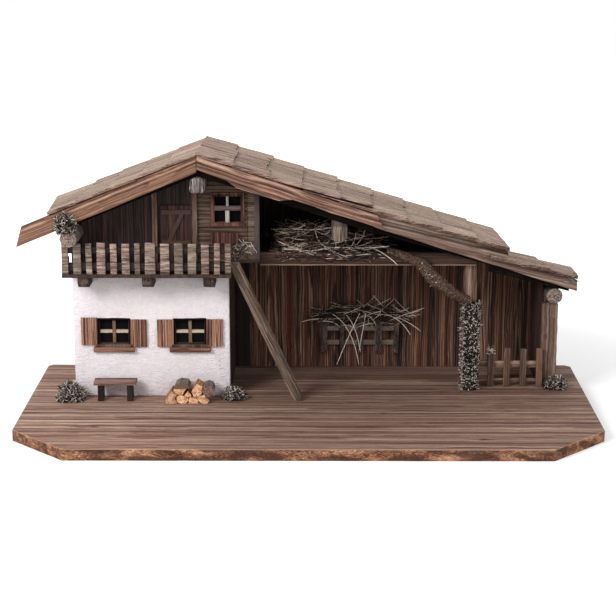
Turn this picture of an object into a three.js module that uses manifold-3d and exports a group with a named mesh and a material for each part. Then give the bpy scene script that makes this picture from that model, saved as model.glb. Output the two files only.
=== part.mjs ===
// Nativity stable: an alpine farmhouse with a balcony and an open barn, glued up in wood on one board.
// Millimetres, +Z up, +X to the right and +Y to the back as seen from the front.
// The origin is the middle of the board's underside.
import * as THREE from "three";
import { mergeVertices } from "three/addons/utils/BufferGeometryUtils.js";
import Module from "manifold-3d";

const wasm = await Module();
wasm.setup();

// Fits
const fit = 0.3; // air between a piece and its seat where the two are turned or cut to each other
const sunk = 1; // how far strips of one glued piece reach into each other

// Base board
const boardWidth = 900;
const boardDepth = 438;
const boardThickness = 18;
const boardFrontCut = 88;
const boardBackCut = 8;

// Plastered ground floor
const houseInset = 73;
const houseWidth = 250;
const houseFront = 40;
const plasterHeight = 208;
const plasterThickness = 10;
const windowWidth = 51;
const windowHeight = 43;
const windowSillHeight = 86;
const windowOffsets = [64.5, 186.5];
const shutterLifts = [3, 0, 0, 0.5];
const shutterHeight = 45;
const windowBar = 5;
const windowDepth = 4;
const shutterWidth = 26;
const shutterThickness = 4;
const sillWidth = 66;
const sillDepth = 8;
const sillThickness = 8;
const sillDrop = 3;

// Upper storey
const floorThickness = 5;
const wallThickness = 8;
const gableSetback = 5;
const logWallWidth = 79;
const logHeight = 7;
const logBulge = 2;
const plankWidth = 17;
const plankGroove = 1.2;
const cornerPostWidth = 19;
const cornerPostDepth = 16;
const doorWidth = 50;
const doorHeight = 100;
const doorReveal = 5;
const doorThickness = 4;
const doorPostWidth = 8;
const doorPostDepth = 6;
const atticWindowWidth = 54;
const atticWindowHeight = 54;
const atticWindowSill = 67;
const atticWindowInset = 21;
const flowerBoxWidth = 43;
const flowerBoxHeight = 16;
const flowerBoxDepth = 9;
const flowerBoxRise = 41;

// Balcony
const balconyReach = 50;
const balconyOverhangLeft = 8;
const balconyOverhangRight = 6;
const slatWidths = [10, 12, 9, 13, 10, 12, 8, 16, 14, 13, 13, 12, 9, 9];
const slatHeight = 50;
const slatThickness = 4;
const lowerRail = [5, 18];
const upperRail = [33, 43];
const beamEndSize = 18;
const beamEndOffsets = [24, 125, 221];

// Barn
const backWallThickness = 8;
const postSize = 18;
const postInset = 193;
const postFront = 74;
const loftRise = 12;
const loftThickness = 6;
const loftBeamHeight = 21;
const loftBeamDepth = 12;
const loftBeamRise = 4;
const loftEndGap = 27;
const leanToPostWidth = 28;
const leanToPostDepth = 26;
const leanToPostInset = 56;
const leanToPostFront = 101;
const lichenSleeveRadius = 18;
const lichenSleeveHeight = 150;

const fenceRailBottoms = [8, 32];
const fenceRailHeights = [5, 11];
const picketCount = 4;
const picketSpacing = 26.5;
const picketWidth = 10;
const picketHeight = 65;
const picketReach = 9;
const picketThickness = 5;
const picketTip = 1.5;
const picketEndGap = 15;

// Ladder from the barn's floor to the end of the balcony
const ladderRun = 103;
const ladderRise = 10;
const ladderRailWidth = 15;
const ladderRailThickness = 5;
const ladderSetback = 26;
const ladderWidth = 21;
const ladderTreads = 9;
const treadThickness = 3;

// Hay rack leaning out from the back wall
const rackLeft = 20;
const rackWidth = 134;
const rackRise = 24;
const rackHeight = 64;
const rackLean = 18;
const rackBoard = 4;
const rackBars = [10, 6, 8, 11, 8];
const rackRails = [16, 43];
const rackRailHeight = 9;
const rackCheekDrop = 8;

// Heaps of hay as round lumps: half width, half depth and half height
const rackHeap = [101, 12.5, 26];
const rackHeapShift = 3;
const loftHeapLeft = [64, 43, 44];
const loftHeapRight = [62, 42, 36];
const loftHeapOffsets = [74, 140];
const loftHeapRises = [14, 4];
const loftHeapSetback = 42;

// Bench and split logs in front of the house
const benchOffset = 33;
const benchWidth = 68;
const benchDepth = 24;
const benchHeight = 33;
const benchTop = 6;
const benchReach = 32;
const benchLegWidth = 9;
const logPileOffset = 148;
const logPileReach = 43;
const logWidth = 10;
const logLength = 30;
const logStagger = 1.5;

// Main roof: both slopes also fall a little towards the back
const ridgeOffset = 205;
const ridgeRise = 187;
const roofOverhang = 44;
const roofBackOverhang = 10;
const roofFall = 0.042;
const leftPitch = THREE.MathUtils.degToRad(22);
const rightSlopeDrop = 161.1;
const leftSlopeRun = 230;
const leftEaveSlant = -24;
const mainEaveInset = 132;
const mainEaveSlant = -8;
const deckThickness = 6;
const rafterDepth = 24;
const rafterThickness = 7;
const rafterSetback = 32;
const bargeThickness = 8;
const bargeHeightRidge = 26;
const bargeHeightLeftEnd = 33;
const bargeTail = 43; // how far the left one runs on past the end of the roof
const bargeEndSlant = 9;
// Lower edge of the right one: run from the ridge as a share of its length, and height
const rightBargeEdge = [[0, 21], [0.16, 24], [0.21, 31], [0.44, 32], [0.51, 24], [0.62, 24.5], [0.72, 27.5], [1, 28]];

// From here on the front edge of the roof runs back at a skew, behind its own barge board
const rearBargeRun = 211;
const skew = 0.28;
const rearBargeLap = 6;
const rearBargeHeight = 22;
const rearBargeFoot = 19;
const rearBargeOver = 4;

// Lean-to roof, one layer below the main one
const leanToPitch = THREE.MathUtils.degToRad(15.4);
const leanToFall = 0.11;
const leanToLap = 30;
const leanToEndInset = 19;
const leanToEndSlant = 13;
const leanToDrop = 18;
const leanToRafterDepth = 16;

// Shingles
const leftCourses = 5;
const rightCourses = 9;
const leanToCourses = 3;
const courseLap = 5;
const leftShingle = { head: 1.6, butt: 4.4, uneven: 0.5 };
const rightShingle = { head: 4, butt: 8, uneven: 0.9 };
const shingleFrontLap = 10;
const shingleJitter = 2.5;

// Roof beams: how far each one stands out in front of the roof's front edge
const ridgeBeamWidth = 24;
const ridgeBeamHeight = 26;
const ridgeBeamReach = 8;
const middleBeamX = 48;
const middleBeamWidth = 24;
const middleBeamHeight = 31;
const eaveLogInset = 7;
const eaveLogRadius = 14;
const eaveLogReach = 24;
const leanToLogShift = 6;
const leanToLogRadius = 13.5;
const leanToLogFront = 90;

const [boardLeft, boardRight] = [-boardWidth / 2, boardWidth / 2];
const houseLeft = boardLeft + houseInset;
const houseRight = houseLeft + houseWidth;
const boardTop = boardThickness;
const plasterTop = boardTop + plasterHeight;
const floorTop = plasterTop + floorThickness;
const ridgeTop = floorTop + ridgeRise;
const ridgeX = houseLeft + ridgeOffset;
const eaveLogX = houseLeft + eaveLogInset;
const gableFront = houseFront + gableSetback;
const gableBack = gableFront + wallThickness;
const backWallBack = boardDepth / 2;
const backWallFront = backWallBack - backWallThickness;
const balconyFront = houseFront - balconyReach;
const balconyLeft = houseLeft - balconyOverhangLeft;
const balconyRight = houseRight + balconyOverhangRight;
const slatFront = balconyFront + 2;
const logWallLeft = ridgeX - 4;
const logWallRight = logWallLeft + logWallWidth;
const cornerPostRight = logWallRight + cornerPostWidth;
const postX = boardRight - postInset;
const loftRight = postX - loftEndGap;
const leanToPostX = boardRight - leanToPostInset;
const leanToLogX = leanToPostX + leanToLogShift;
const loftBeamBack = postFront;
const loftBeamFront = loftBeamBack - loftBeamDepth;
const loftBottom = plasterTop + loftRise;
const loftTop = loftBottom + loftThickness;
const loftBeamBottom = plasterTop + loftBeamRise;
const loftBeamTop = loftBeamBottom + loftBeamHeight;
const roofFront = houseFront - roofOverhang;
const roofBack = backWallBack + roofBackOverhang;
const leftEave = ridgeX - leftSlopeRun;
const mainEave = boardRight - mainEaveInset;
const frontBargeEnd = mainEave - rearBargeRun;
const rightPitch = Math.atan(rightSlopeDrop / (mainEave - ridgeX));
const leanToStart = mainEave - leanToLap;
const leanToEnd = boardRight - leanToEndInset;
const skewAngle = Math.atan(skew);

// Repeatable scatter for things that a person lays by eye
function scatter(seed) {
  let state = seed;
  return (spread) => {
    state = (state * 16807) % 2147483647;
    return (state / 2147483647 - 0.5) * 2 * spread;
  };
}

// Closed geometry to a solid that can be joined and cut
function solid(geometry) {
  const bare = geometry.index ? geometry.toNonIndexed() : geometry.clone();
  bare.deleteAttribute("normal");
  bare.deleteAttribute("uv");
  const merged = mergeVertices(bare, 1e-4);
  const vertProperties = merged.attributes.position.array;
  const triVerts = new Uint32Array(merged.index.array);
  return new wasm.Manifold(new wasm.Mesh({ numProp: 3, vertProperties, triVerts }));
}

// A solid back to geometry with flat faces
function surface(body) {
  const mesh = body.getMesh();
  const geometry = new THREE.BufferGeometry();
  geometry.setAttribute("position", new THREE.BufferAttribute(mesh.vertProperties, 3));
  geometry.setIndex(new THREE.BufferAttribute(mesh.triVerts, 1));
  const faceted = geometry.toNonIndexed();
  faceted.computeVertexNormals();
  return faceted;
}

function join(solids) {
  return solids.reduce((all, next) => all.add(next));
}

// Simple solids
function block(x0, x1, y0, y1, z0, z1) {
  const geometry = new THREE.BoxGeometry(x1 - x0, y1 - y0, z1 - z0);
  return solid(geometry.translate((x0 + x1) / 2, (y0 + y1) / 2, (z0 + z1) / 2));
}

function outline(points) {
  return new THREE.Shape(points.map(([a, b]) => new THREE.Vector2(a, b)));
}

function extrusion(points, depth) {
  return new THREE.ExtrudeGeometry(outline(points), { depth, bevelEnabled: false });
}

// Outline in the XY plane, raised from z0 to z1
function plate(points, z0, z1) {
  return solid(extrusion(points, z1 - z0).translate(0, 0, z0));
}

// Outline in the XZ plane, drawn out from y0 to y1
function alongY(points, y0, y1) {
  return solid(extrusion(points, y1 - y0).rotateX(Math.PI / 2).translate(0, y1, 0));
}

// Outline in the YZ plane, drawn out from x0 to x1
function alongX(points, x0, x1) {
  const turn = new THREE.Matrix4().makeBasis(
    new THREE.Vector3(0, 1, 0),
    new THREE.Vector3(0, 0, 1),
    new THREE.Vector3(1, 0, 0),
  );
  return solid(extrusion(points, x1 - x0).applyMatrix4(turn).translate(x0, 0, 0));
}

function circle(cx, cz, radius, sides) {
  return Array.from({ length: sides }, (_, i) => {
    const angle = (i / sides) * 2 * Math.PI;
    return [cx + radius * Math.cos(angle), cz + radius * Math.sin(angle)];
  });
}

// Outline in the XZ plane at the roof's front edge, drawn back so that it falls with the roof
function alongFall(points, y0, y1, fall) {
  const geometry = extrusion(points, y1 - y0).rotateX(Math.PI / 2).translate(0, y1, 0);
  const at = geometry.attributes.position;
  for (let i = 0; i < at.count; i += 1) at.setZ(i, at.getZ(i) - fall * (at.getY(i) - roofFront));
  return solid(geometry);
}

// Outline in the XY plane, raised between two sloping surfaces
function raised(plan, bottom, top) {
  const geometry = extrusion(plan, 1);
  const at = geometry.attributes.position;
  for (let i = 0; i < at.count; i += 1) {
    const surfaceHeight = at.getZ(i) > 0.5 ? top : bottom;
    at.setZ(i, surfaceHeight(at.getX(i), at.getY(i)));
  }
  return solid(geometry);
}

const rectangle = (x0, x1, y0, y1) => [[x0, y0], [x1, y0], [x1, y1], [x0, y1]];

// A lump with soft swellings, for hay and lichen
function lump(x, y, z, rx, ry, rz, seed) {
  const geometry = new THREE.SphereGeometry(1, 14, 9);
  const at = geometry.attributes.position;
  for (let i = 0; i < at.count; i += 1) {
    const [a, b, c] = [at.getX(i), at.getY(i), at.getZ(i)];
    const swell = 1 - 0.06 * (1 + Math.sin(5 * a + seed) * Math.cos(4 * b + 2 * seed) * Math.cos(5 * c));
    at.setXYZ(i, a * swell, b * swell, c * swell);
  }
  return solid(geometry.scale(rx, ry, rz).translate(x, y, z));
}

// A round limb along a curve with a radius at each point
function limb(points, radii, sides) {
  const curve = new THREE.CatmullRomCurve3(points.map((p) => new THREE.Vector3(...p)));
  const steps = (points.length - 1) * 3;
  const frames = curve.computeFrenetFrames(steps, false);
  const vertices = [];
  const faces = [];
  for (let i = 0; i <= steps; i += 1) {
    const share = (i / steps) * (radii.length - 1);
    const low = Math.min(Math.floor(share), radii.length - 2);
    const radius = THREE.MathUtils.lerp(radii[low], radii[low + 1], share - low);
    const centre = curve.getPoint(i / steps);
    for (let k = 0; k < sides; k += 1) {
      const angle = (k / sides) * 2 * Math.PI;
      const point = centre
        .clone()
        .addScaledVector(frames.normals[i], radius * Math.cos(angle))
        .addScaledVector(frames.binormals[i], radius * Math.sin(angle));
      vertices.push(...point.toArray());
    }
  }
  const first = vertices.length / 3;
  vertices.push(...curve.getPoint(0).toArray(), ...curve.getPoint(1).toArray());
  for (let k = 0; k < sides; k += 1) {
    const next = (k + 1) % sides;
    for (let i = 0; i < steps; i += 1) {
      const [a, b] = [i * sides + k, i * sides + next];
      faces.push(a, b, a + sides, b, b + sides, a + sides);
    }
    faces.push(first, next, k, first + 1, steps * sides + k, steps * sides + next);
  }
  const geometry = new THREE.BufferGeometry();
  geometry.setAttribute("position", new THREE.Float32BufferAttribute(vertices, 3));
  return solid(geometry.setIndex(faces));
}

// Height of the roof's planes at a place, so many millimetres into the roof from the deck's top
function mainRoof(inward) {
  return (x, y) => {
    const pitch = x <= ridgeX ? leftPitch : rightPitch;
    const drop = Math.abs(x - ridgeX) * Math.tan(pitch) + inward / Math.cos(pitch);
    return ridgeTop - drop - roofFall * (y - roofFront);
  };
}

function leanToRoof(inward) {
  const kinkY = skewLine(mainEave);
  const start = mainRoof(0)(mainEave, kinkY) - leanToDrop;
  return (x, y) => {
    const drop = (x - mainEave) * Math.tan(leanToPitch) + inward / Math.cos(leanToPitch);
    return start - drop - leanToFall * (y - kinkY);
  };
}

// Front face of the rear barge board, and the line just behind its back
const skewLine = (x) => roofFront + fit + skew * (x - frontBargeEnd);
const behindRearBarge = (x) => skewLine(x) + bargeThickness / Math.cos(skewAngle) + fit;

const rafterUnderside = deckThickness + rafterDepth;
const underDeck = mainRoof(deckThickness + fit);
const underRafter = mainRoof(rafterUnderside + fit);
const underLeanTo = leanToRoof(deckThickness + fit);
const underLeanToRafter = leanToRoof(deckThickness + leanToRafterDepth + fit);

const wood = {
  board: [0x7d6458, 0.75],
  plaster: [0xe6dfe0, 0.95],
  dark: [0x3b2b24, 0.85],
  brown: [0x7a5238, 0.75],
  red: [0x6a4034, 0.75],
  tan: [0x8d755a, 0.8],
  roof: [0x9a8272, 0.85],
  barge: [0x97735c, 0.8],
  bark: [0x5c5148, 0.95],
  fresh: [0xc59a68, 0.7],
  grey: [0x8a7b6c, 0.8],
  hay: [0x7b6a50, 1],
  lichen: [0x6f756c, 1],
};

const stable = new THREE.Group();

function add(name, finish, body, parent = stable) {
  const [color, roughness] = wood[finish];
  const material = new THREE.MeshStandardMaterial({ color, roughness, metalness: 0 });
  const mesh = new THREE.Mesh(surface(body), material);
  mesh.name = name;
  parent.add(mesh);
  return mesh;
}

// Base board with cut corners
function baseBoard() {
  const [w, d] = [boardWidth / 2, boardDepth / 2];
  const corners = [
    [-w + boardFrontCut, -d],
    [w - boardFrontCut, -d],
    [w, -d + boardFrontCut],
    [w, d - boardBackCut],
    [w - boardBackCut, d],
    [-w + boardBackCut, d],
    [-w, d - boardBackCut],
    [-w, -d + boardFrontCut],
  ];
  add("base_board", "board", plate(corners, 0, boardThickness));
}

// Ground floor
const windowBottom = boardTop + windowSillHeight;
const windowCentres = windowOffsets.map((offset) => houseLeft + offset);

function plasterWalls() {
  let front = block(houseLeft, houseRight, houseFront, houseFront + plasterThickness, boardTop, plasterTop);
  for (const centre of windowCentres) {
    const [x0, x1] = [centre - windowWidth / 2, centre + windowWidth / 2];
    const through = houseFront + plasterThickness + 1;
    front = front.subtract(
      block(x0, x1, houseFront - 1, through, windowBottom, windowBottom + windowHeight),
    );
  }
  add("house_wall_front", "plaster", front);
  const [y0, y1] = [houseFront + plasterThickness, backWallFront];
  add("house_wall_left", "plaster", block(houseLeft, houseLeft + plasterThickness, y0, y1, boardTop, plasterTop));
  const step = gableBack + fit;
  const side = [[y0, boardTop], [y1, boardTop], [y1, loftBottom], [step, loftBottom], [step, plasterTop], [y0, plasterTop]];
  add("house_wall_right", "plaster", alongX(side, houseRight - plasterThickness, houseRight));
}

// A frame with a cross in it, standing in the XZ plane
function crossFrame(width, height, border, bar, y0, y1) {
  const [w, h] = [width / 2, height / 2];
  let frame = block(-w, w, y0, y1, 0, height);
  for (const side of [-1, 1]) {
    for (const level of [-1, 1]) {
      const x = (side * (w - border + bar / 2)) / 2;
      const z = h + (level * (h - border + bar / 2)) / 2;
      const [paneWidth, paneHeight] = [w - border - bar / 2, h - border - bar / 2];
      const [x0, z0] = [x - paneWidth / 2, z - paneHeight / 2];
      frame = frame.subtract(block(x0, x0 + paneWidth, y0 - 1, y1 + 1, z0, z0 + paneHeight));
    }
  }
  return frame;
}

// A board of upright planks with a fine groove at each joint, open to the front
function plankedPlan(x0, x1, y0, y1, count) {
  const points = [[x0, y1], [x0, y0]];
  for (let i = 1; i < count; i += 1) {
    const joint = x0 + ((x1 - x0) * i) / count;
    points.push([joint - plankGroove / 2, y0], [joint, y0 + plankGroove], [joint + plankGroove / 2, y0]);
  }
  points.push([x1, y0], [x1, y1]);
  return points.reverse();
}

function groundFloorWindows() {
  windowCentres.forEach((centre, i) => {
    const side = ["left", "right"][i];
    const back = houseFront + plasterThickness / 2 + windowDepth / 2;
    const cross = crossFrame(windowWidth - 2 * fit, windowHeight - 2 * fit, 2.5, windowBar, back - windowDepth, back);
    add("window_" + side, "brown", cross).position.set(centre, 0, windowBottom + fit);
    const sillTop = windowBottom - sillDrop;
    const face = houseFront - sillDepth;
    const sill = alongX(
      [
        [face, sillTop - sillThickness + 2],
        [face + 2, sillTop - sillThickness],
        [houseFront, sillTop - sillThickness],
        [houseFront, sillTop],
        [face, sillTop - 1],
      ],
      centre - sillWidth / 2,
      centre + sillWidth / 2,
    );
    add("window_sill_" + side, "brown", sill);
    ["a", "b"].forEach((letter, k) => {
      const edge = windowWidth / 2 + 1;
      const x0 = k === 0 ? centre - edge - shutterWidth : centre + edge;
      const z0 = sillTop + fit + shutterLifts[2 * i + k];
      const plan = plankedPlan(x0, x0 + shutterWidth, houseFront - shutterThickness, houseFront, 3);
      add("shutter_" + side + "_" + letter, "brown", plate(plan, z0, z0 + shutterHeight));
    });
  });
}

// Roof beams. Their sections are drawn at the roof's front edge.
function ridgeBeamSection(grow) {
  const half = ridgeBeamWidth / 2 + grow;
  const top = (x) => underRafter(x, roofFront) + grow;
  const bottom = top(ridgeX) - ridgeBeamHeight - 2 * grow;
  const [x0, x1] = [ridgeX - half, ridgeX + half];
  return [[x0 + 4, bottom], [x1 - 4, bottom], [x1, bottom + 4], [x1, top(x1)], [ridgeX, top(ridgeX)], [x0, top(x0)], [x0, bottom + 4]];
}

function middleBeamSection(grow) {
  const [x0, x1] = [middleBeamX - middleBeamWidth / 2 - grow, middleBeamX + middleBeamWidth / 2 + grow];
  const top = (x) => underRafter(x, roofFront) + grow;
  const bottom = top(middleBeamX) - middleBeamHeight - 2 * grow;
  return [[x0 + 5, bottom], [x1 - 5, bottom], [x1, bottom + 5], [x1, top(x1)], [x0, top(x0)], [x0, bottom + 5]];
}

const eaveLogZ = underRafter(eaveLogX, roofFront) - eaveLogRadius / Math.cos(leftPitch);
const leanToLogZ = underLeanToRafter(leanToLogX, roofFront) - leanToLogRadius / Math.cos(leanToPitch);

const roofBeams = {
  ridge_beam: ["grey", roofFall, roofFront - ridgeBeamReach, ridgeBeamSection],
  middle_beam: ["grey", roofFall, roofFront + fit, middleBeamSection],
  eave_log_left: ["bark", roofFall, roofFront - eaveLogReach, (grow) => circle(eaveLogX, eaveLogZ, eaveLogRadius + grow, 16)],
  eave_log_right: ["bark", leanToFall, leanToLogFront, (grow) => circle(leanToLogX, leanToLogZ, leanToLogRadius + grow, 16)],
};

function beamSolid(name, grow) {
  const [, fall, front, section] = roofBeams[name];
  return alongFall(section(grow), front - grow, roofBack + grow, fall);
}

// A beam a little larger than itself, to notch what it passes through
const beamNotch = (name) => beamSolid(name, 2 * fit);

function roofBeamNodes() {
  for (const name of Object.keys(roofBeams)) add(name, roofBeams[name][0], beamSolid(name, 0));
}

// Underside of the logs over the walls that carry them
const eaveLogUnder = (y) => eaveLogZ - eaveLogRadius - roofFall * (y - roofFront) - fit;
const leanToLogUnder = (y) => leanToLogZ - leanToLogRadius - leanToFall * (y - roofFront) - fit;

// Upper storey: floor, walls, door, windows
function upperFloor() {
  const inner = houseRight - plasterThickness - fit;
  const plan = [
    [balconyLeft, balconyFront],
    [balconyRight, balconyFront],
    [balconyRight, gableBack],
    [inner, gableBack],
    [inner, backWallFront - fit],
    [houseLeft, backWallFront - fit],
    [houseLeft, gableBack],
    [balconyLeft, gableBack],
  ];
  add("upper_floor", "dark", plate(plan, plasterTop, floorTop));
}

function gableWall() {
  const planks = Math.round((logWallLeft - houseLeft) / plankWidth);
  const plan = plankedPlan(houseLeft, logWallLeft - fit, gableFront, gableBack, planks);
  const board = plate(plan, floorTop, ridgeTop);
  const trim = (x) => [x, underDeck(x, gableBack)];
  const shape = [
    [houseLeft - 1, floorTop],
    [logWallLeft, floorTop],
    trim(logWallLeft),
    trim(houseLeft - 1),
  ];
  const wall = board.intersect(alongY(shape, gableFront - 1, gableBack + 1));
  add("gable_wall", "dark", wall.subtract(beamNotch("ridge_beam")).subtract(beamNotch("eave_log_left")));
}

// Rounded planks lying on each other
function logWall() {
  const courses = Math.ceil((ridgeTop - floorTop) / logHeight);
  const side = [[gableBack, floorTop]];
  for (let i = 0; i < courses; i += 1) {
    for (const [share, out] of [[0, 0], [0.25, 0.8], [0.5, 1], [0.75, 0.8]]) {
      side.push([gableFront - out * logBulge, floorTop + (i + share) * logHeight]);
    }
  }
  side.push([gableFront, floorTop + courses * logHeight], [gableBack, floorTop + courses * logHeight]);
  const logs = alongX(side.reverse(), logWallLeft, logWallRight);
  const trim = (x) => [x, underDeck(x, gableBack)];
  const shape = [
    [logWallLeft, floorTop],
    [houseRight, floorTop],
    [houseRight, loftTop],
    [logWallRight - fit, loftTop],
    trim(logWallRight - fit),
    trim(ridgeX),
    trim(logWallLeft),
  ];
  const wall = logs.intersect(alongY(shape, gableFront - 2 * logBulge, gableBack));
  const [x0, z0] = [atticWindowX - atticWindowWidth / 2, floorTop + atticWindowSill];
  const hole = block(x0, x0 + atticWindowWidth, gableFront - 9, gableBack + 1, z0, z0 + atticWindowHeight);
  add("log_wall", "tan", wall.subtract(hole).subtract(beamNotch("ridge_beam")));
}

const atticWindowX = logWallLeft + atticWindowInset + atticWindowWidth / 2;

function atticWindow() {
  const width = atticWindowWidth - 2 * fit;
  const frame = crossFrame(width, atticWindowHeight - 2 * fit, 6, 4, gableFront - 4, gableFront + 5);
  add("attic_window", "red", frame).position.set(atticWindowX, 0, floorTop + atticWindowSill + fit);
}

function flowerBox() {
  const x0 = atticWindowX - atticWindowWidth / 2;
  const x1 = x0 + flowerBoxWidth;
  const back = gableFront - logBulge - fit;
  const front = back - flowerBoxDepth;
  const z0 = floorTop + flowerBoxRise;
  const shell = plate(plankedPlan(x0, x1, front, back, 9), z0, z0 + flowerBoxHeight);
  const trough = block(x0 + 2, x1 - 2, front + 3, back - 2, z0 + 2, z0 + flowerBoxHeight + 1);
  add("flower_box", "red", shell.subtract(trough));
}

const doorRight = logWallLeft - doorPostWidth - fit;
const doorLeft = doorRight - doorWidth;

function balconyDoor() {
  const bottom = floorTop + fit;
  const face = gableFront - doorThickness;
  const board = plate(plankedPlan(doorLeft, doorRight, face, gableFront - fit, 4), bottom, bottom + doorHeight);
  const batten = block(doorLeft + 2, doorRight - 2, face - 2, face + sunk, bottom + 86, bottom + 93);
  const lower = block(doorLeft + 2, doorRight - 2, face - 2, face + sunk, bottom + 38, bottom + 44);
  const brace = alongY(
    [
      [doorLeft + 10, bottom + 43],
      [doorLeft + 17, bottom + 43],
      [doorRight - 12, bottom + 87],
      [doorRight - 19, bottom + 87],
    ],
    face - 2,
    face + sunk,
  );
  add("balcony_door", "red", join([board, batten, lower, brace]));
}

function doorPosts() {
  const [y0, y1] = [gableFront - doorPostDepth, gableFront - fit];
  const left = doorLeft - doorReveal - doorPostWidth;
  const posts = [
    ["door_post_left", left, (x) => underDeck(x, gableFront)],
    ["door_post_right", doorRight + fit, () => ridgeBeamUnder],
  ];
  for (const [name, x0, top] of posts) {
    const x1 = x0 + doorPostWidth;
    const shape = [[x0, floorTop], [x1, floorTop], [x1, top(x1)], [x0, top(x0)]];
    add(name, "brown", alongY(shape, y0, y1));
  }
}

const ridgeBeamUnder = ridgeBeamSection(0)[0][1] - roofFall * (gableFront - roofFront) - fit;

function upperCornerPost() {
  const [x0, x1] = [logWallRight, cornerPostRight];
  const back = gableFront + cornerPostDepth;
  const shape = [[x0, loftTop], [x1, loftTop], [x1, underDeck(x1, back)], [x0, underDeck(x0, back)]];
  add("corner_post", "tan", alongY(shape, gableFront, back));
}

function upperSideWalls() {
  const [y0, y1] = [gableBack + fit, backWallFront - fit];
  const left = [[y0, floorTop], [y1, floorTop], [y1, eaveLogUnder(y1)], [y0, eaveLogUnder(y0)]];
  add("upper_wall_left", "dark", alongX(left, houseLeft, houseLeft + wallThickness));
  const x1 = cornerPostRight - 3;
  const front = gableFront + cornerPostDepth + fit;
  const top = (y) => underDeck(x1, y);
  const right = [[front, loftTop], [y1, loftTop], [y1, top(y1)], [front, top(front)]];
  add("upper_wall_right", "dark", alongX(right, x1 - wallThickness, x1));
}

// Balcony
function balconyRailing() {
  const taken = slatWidths.reduce((sum, width) => sum + width);
  const span = balconyRight - balconyLeft - 2 * fit;
  const gap = (span - taken) / (slatWidths.length - 1);
  const pieces = [];
  let x = balconyLeft + fit;
  for (const width of slatWidths) {
    pieces.push(block(x, x + width, slatFront, slatFront + slatThickness, floorTop, floorTop + slatHeight));
    x += width + gap;
  }
  const [y0, y1] = [slatFront + slatThickness - sunk, slatFront + 2 * slatThickness];
  for (const [low, high] of [lowerRail, upperRail]) {
    const [z0, z1] = [floorTop + low, floorTop + high];
    pieces.push(block(balconyLeft + fit, balconyRight - fit, y0, y1, z0, z1));
    pieces.push(block(balconyLeft + fit, balconyLeft + fit + slatThickness, y1 - sunk, gableFront - 2 * fit, z0, z1));
  }
  add("balcony_railing", "brown", join(pieces).subtract(beamNotch("eave_log_left")));
}

function beamEnds() {
  beamEndOffsets.forEach((offset, i) => {
    const x = houseLeft + offset;
    const front = balconyFront + 8;
    const bottom = plasterTop - beamEndSize;
    const side = [
      [front, bottom + 6],
      [front + 6, bottom],
      [houseFront, bottom],
      [houseFront, plasterTop],
      [front, plasterTop],
    ];
    add("balcony_beam_" + (i + 1), "dark", alongX(side, x - beamEndSize / 2, x + beamEndSize / 2));
  });
}

// Barn
function backWall() {
  const right = leanToPostX + leanToPostWidth / 2;
  const planks = Math.round((right - houseLeft) / (1.5 * plankWidth));
  const board = plate(plankedPlan(houseLeft, right, backWallFront, backWallBack, planks), boardTop, ridgeTop);
  const main = (x) => [x, underDeck(x, backWallBack)];
  const low = (x) => [x, underLeanTo(x, backWallBack)];
  const step = leanToStart - 1;
  const shape = [
    [houseLeft - 1, boardTop],
    [right + 1, boardTop],
    low(right + 1),
    low(step),
    main(step),
    main(ridgeX),
    main(houseLeft - 1),
  ];
  let wall = board.intersect(alongY(shape, backWallFront - 1, backWallBack + 1));
  for (const name of Object.keys(roofBeams)) wall = wall.subtract(beamNotch(name));
  add("back_wall", "dark", wall);
}

function loft() {
  const overWall = houseRight - plasterThickness;
  const plan = [
    [houseRight + fit, gableFront + fit],
    [cornerPostRight, gableFront + fit],
    [cornerPostRight, loftBeamBack + fit],
    [loftRight, loftBeamBack + fit],
    [loftRight, backWallFront - fit],
    [overWall, backWallFront - fit],
    [overWall, gableBack + fit],
    [houseRight + fit, gableBack + fit],
  ];
  add("loft_floor", "dark", plate(plan, loftBottom, loftTop));
  const [x0, x1] = [cornerPostRight + fit, postX + postSize / 2 + 2];
  add("loft_beam", "brown", block(x0, x1, loftBeamFront, loftBeamBack, loftBeamBottom, loftBeamTop));
}

function posts() {
  const [x0, x1] = [postX - postSize / 2, postX + postSize / 2];
  const back = postFront + postSize;
  const shape = [[x0, boardTop], [x1, boardTop], [x1, underDeck(x1, back)], [x0, underDeck(x0, back)]];
  add("square_post", "grey", alongY(shape, postFront, back));
  const [y0, y1] = [leanToPostFront, leanToPostFront + leanToPostDepth];
  const side = [[y0, boardTop], [y1, boardTop], [y1, leanToLogUnder(y1)], [y0, leanToLogUnder(y0)]];
  const half = leanToPostWidth / 2;
  add("lean_to_post", "grey", alongX(side, leanToPostX - half, leanToPostX + half));
  const inner = leanToLogX - leanToLogRadius - fit;
  const plan = rectangle(inner - wallThickness, inner, y1 + fit, backWallFront - fit);
  add("lean_to_wall", "dark", raised(plan, () => boardTop, underLeanTo));
}

const sleeveX = postX + 3;
const sleeveY = postFront + postSize / 2;
const sleeveTop = boardTop + lichenSleeveHeight;

function lichenSleeve() {
  const profile = [[0, 0]];
  const rings = 10;
  for (let i = 0; i <= rings; i += 1) {
    const swell = 1 + 0.06 * Math.sin(i * 2.4);
    profile.push([lichenSleeveRadius * (i === 0 || i === rings ? 0.93 : swell), (lichenSleeveHeight * i) / rings]);
  }
  profile.push([0, lichenSleeveHeight]);
  const lathe = new THREE.LatheGeometry(profile.map(([r, z]) => new THREE.Vector2(r, z)), 16);
  const column = solid(lathe.rotateX(Math.PI / 2).translate(sleeveX, sleeveY, boardTop));
  const [x0, x1] = [postX - postSize / 2 - fit, postX + postSize / 2 + fit];
  const [y0, y1] = [postFront - fit, postFront + postSize + fit];
  add("lichen_on_post", "lichen", column.subtract(block(x0, x1, y0, y1, 0, ridgeTop)));
}

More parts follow.
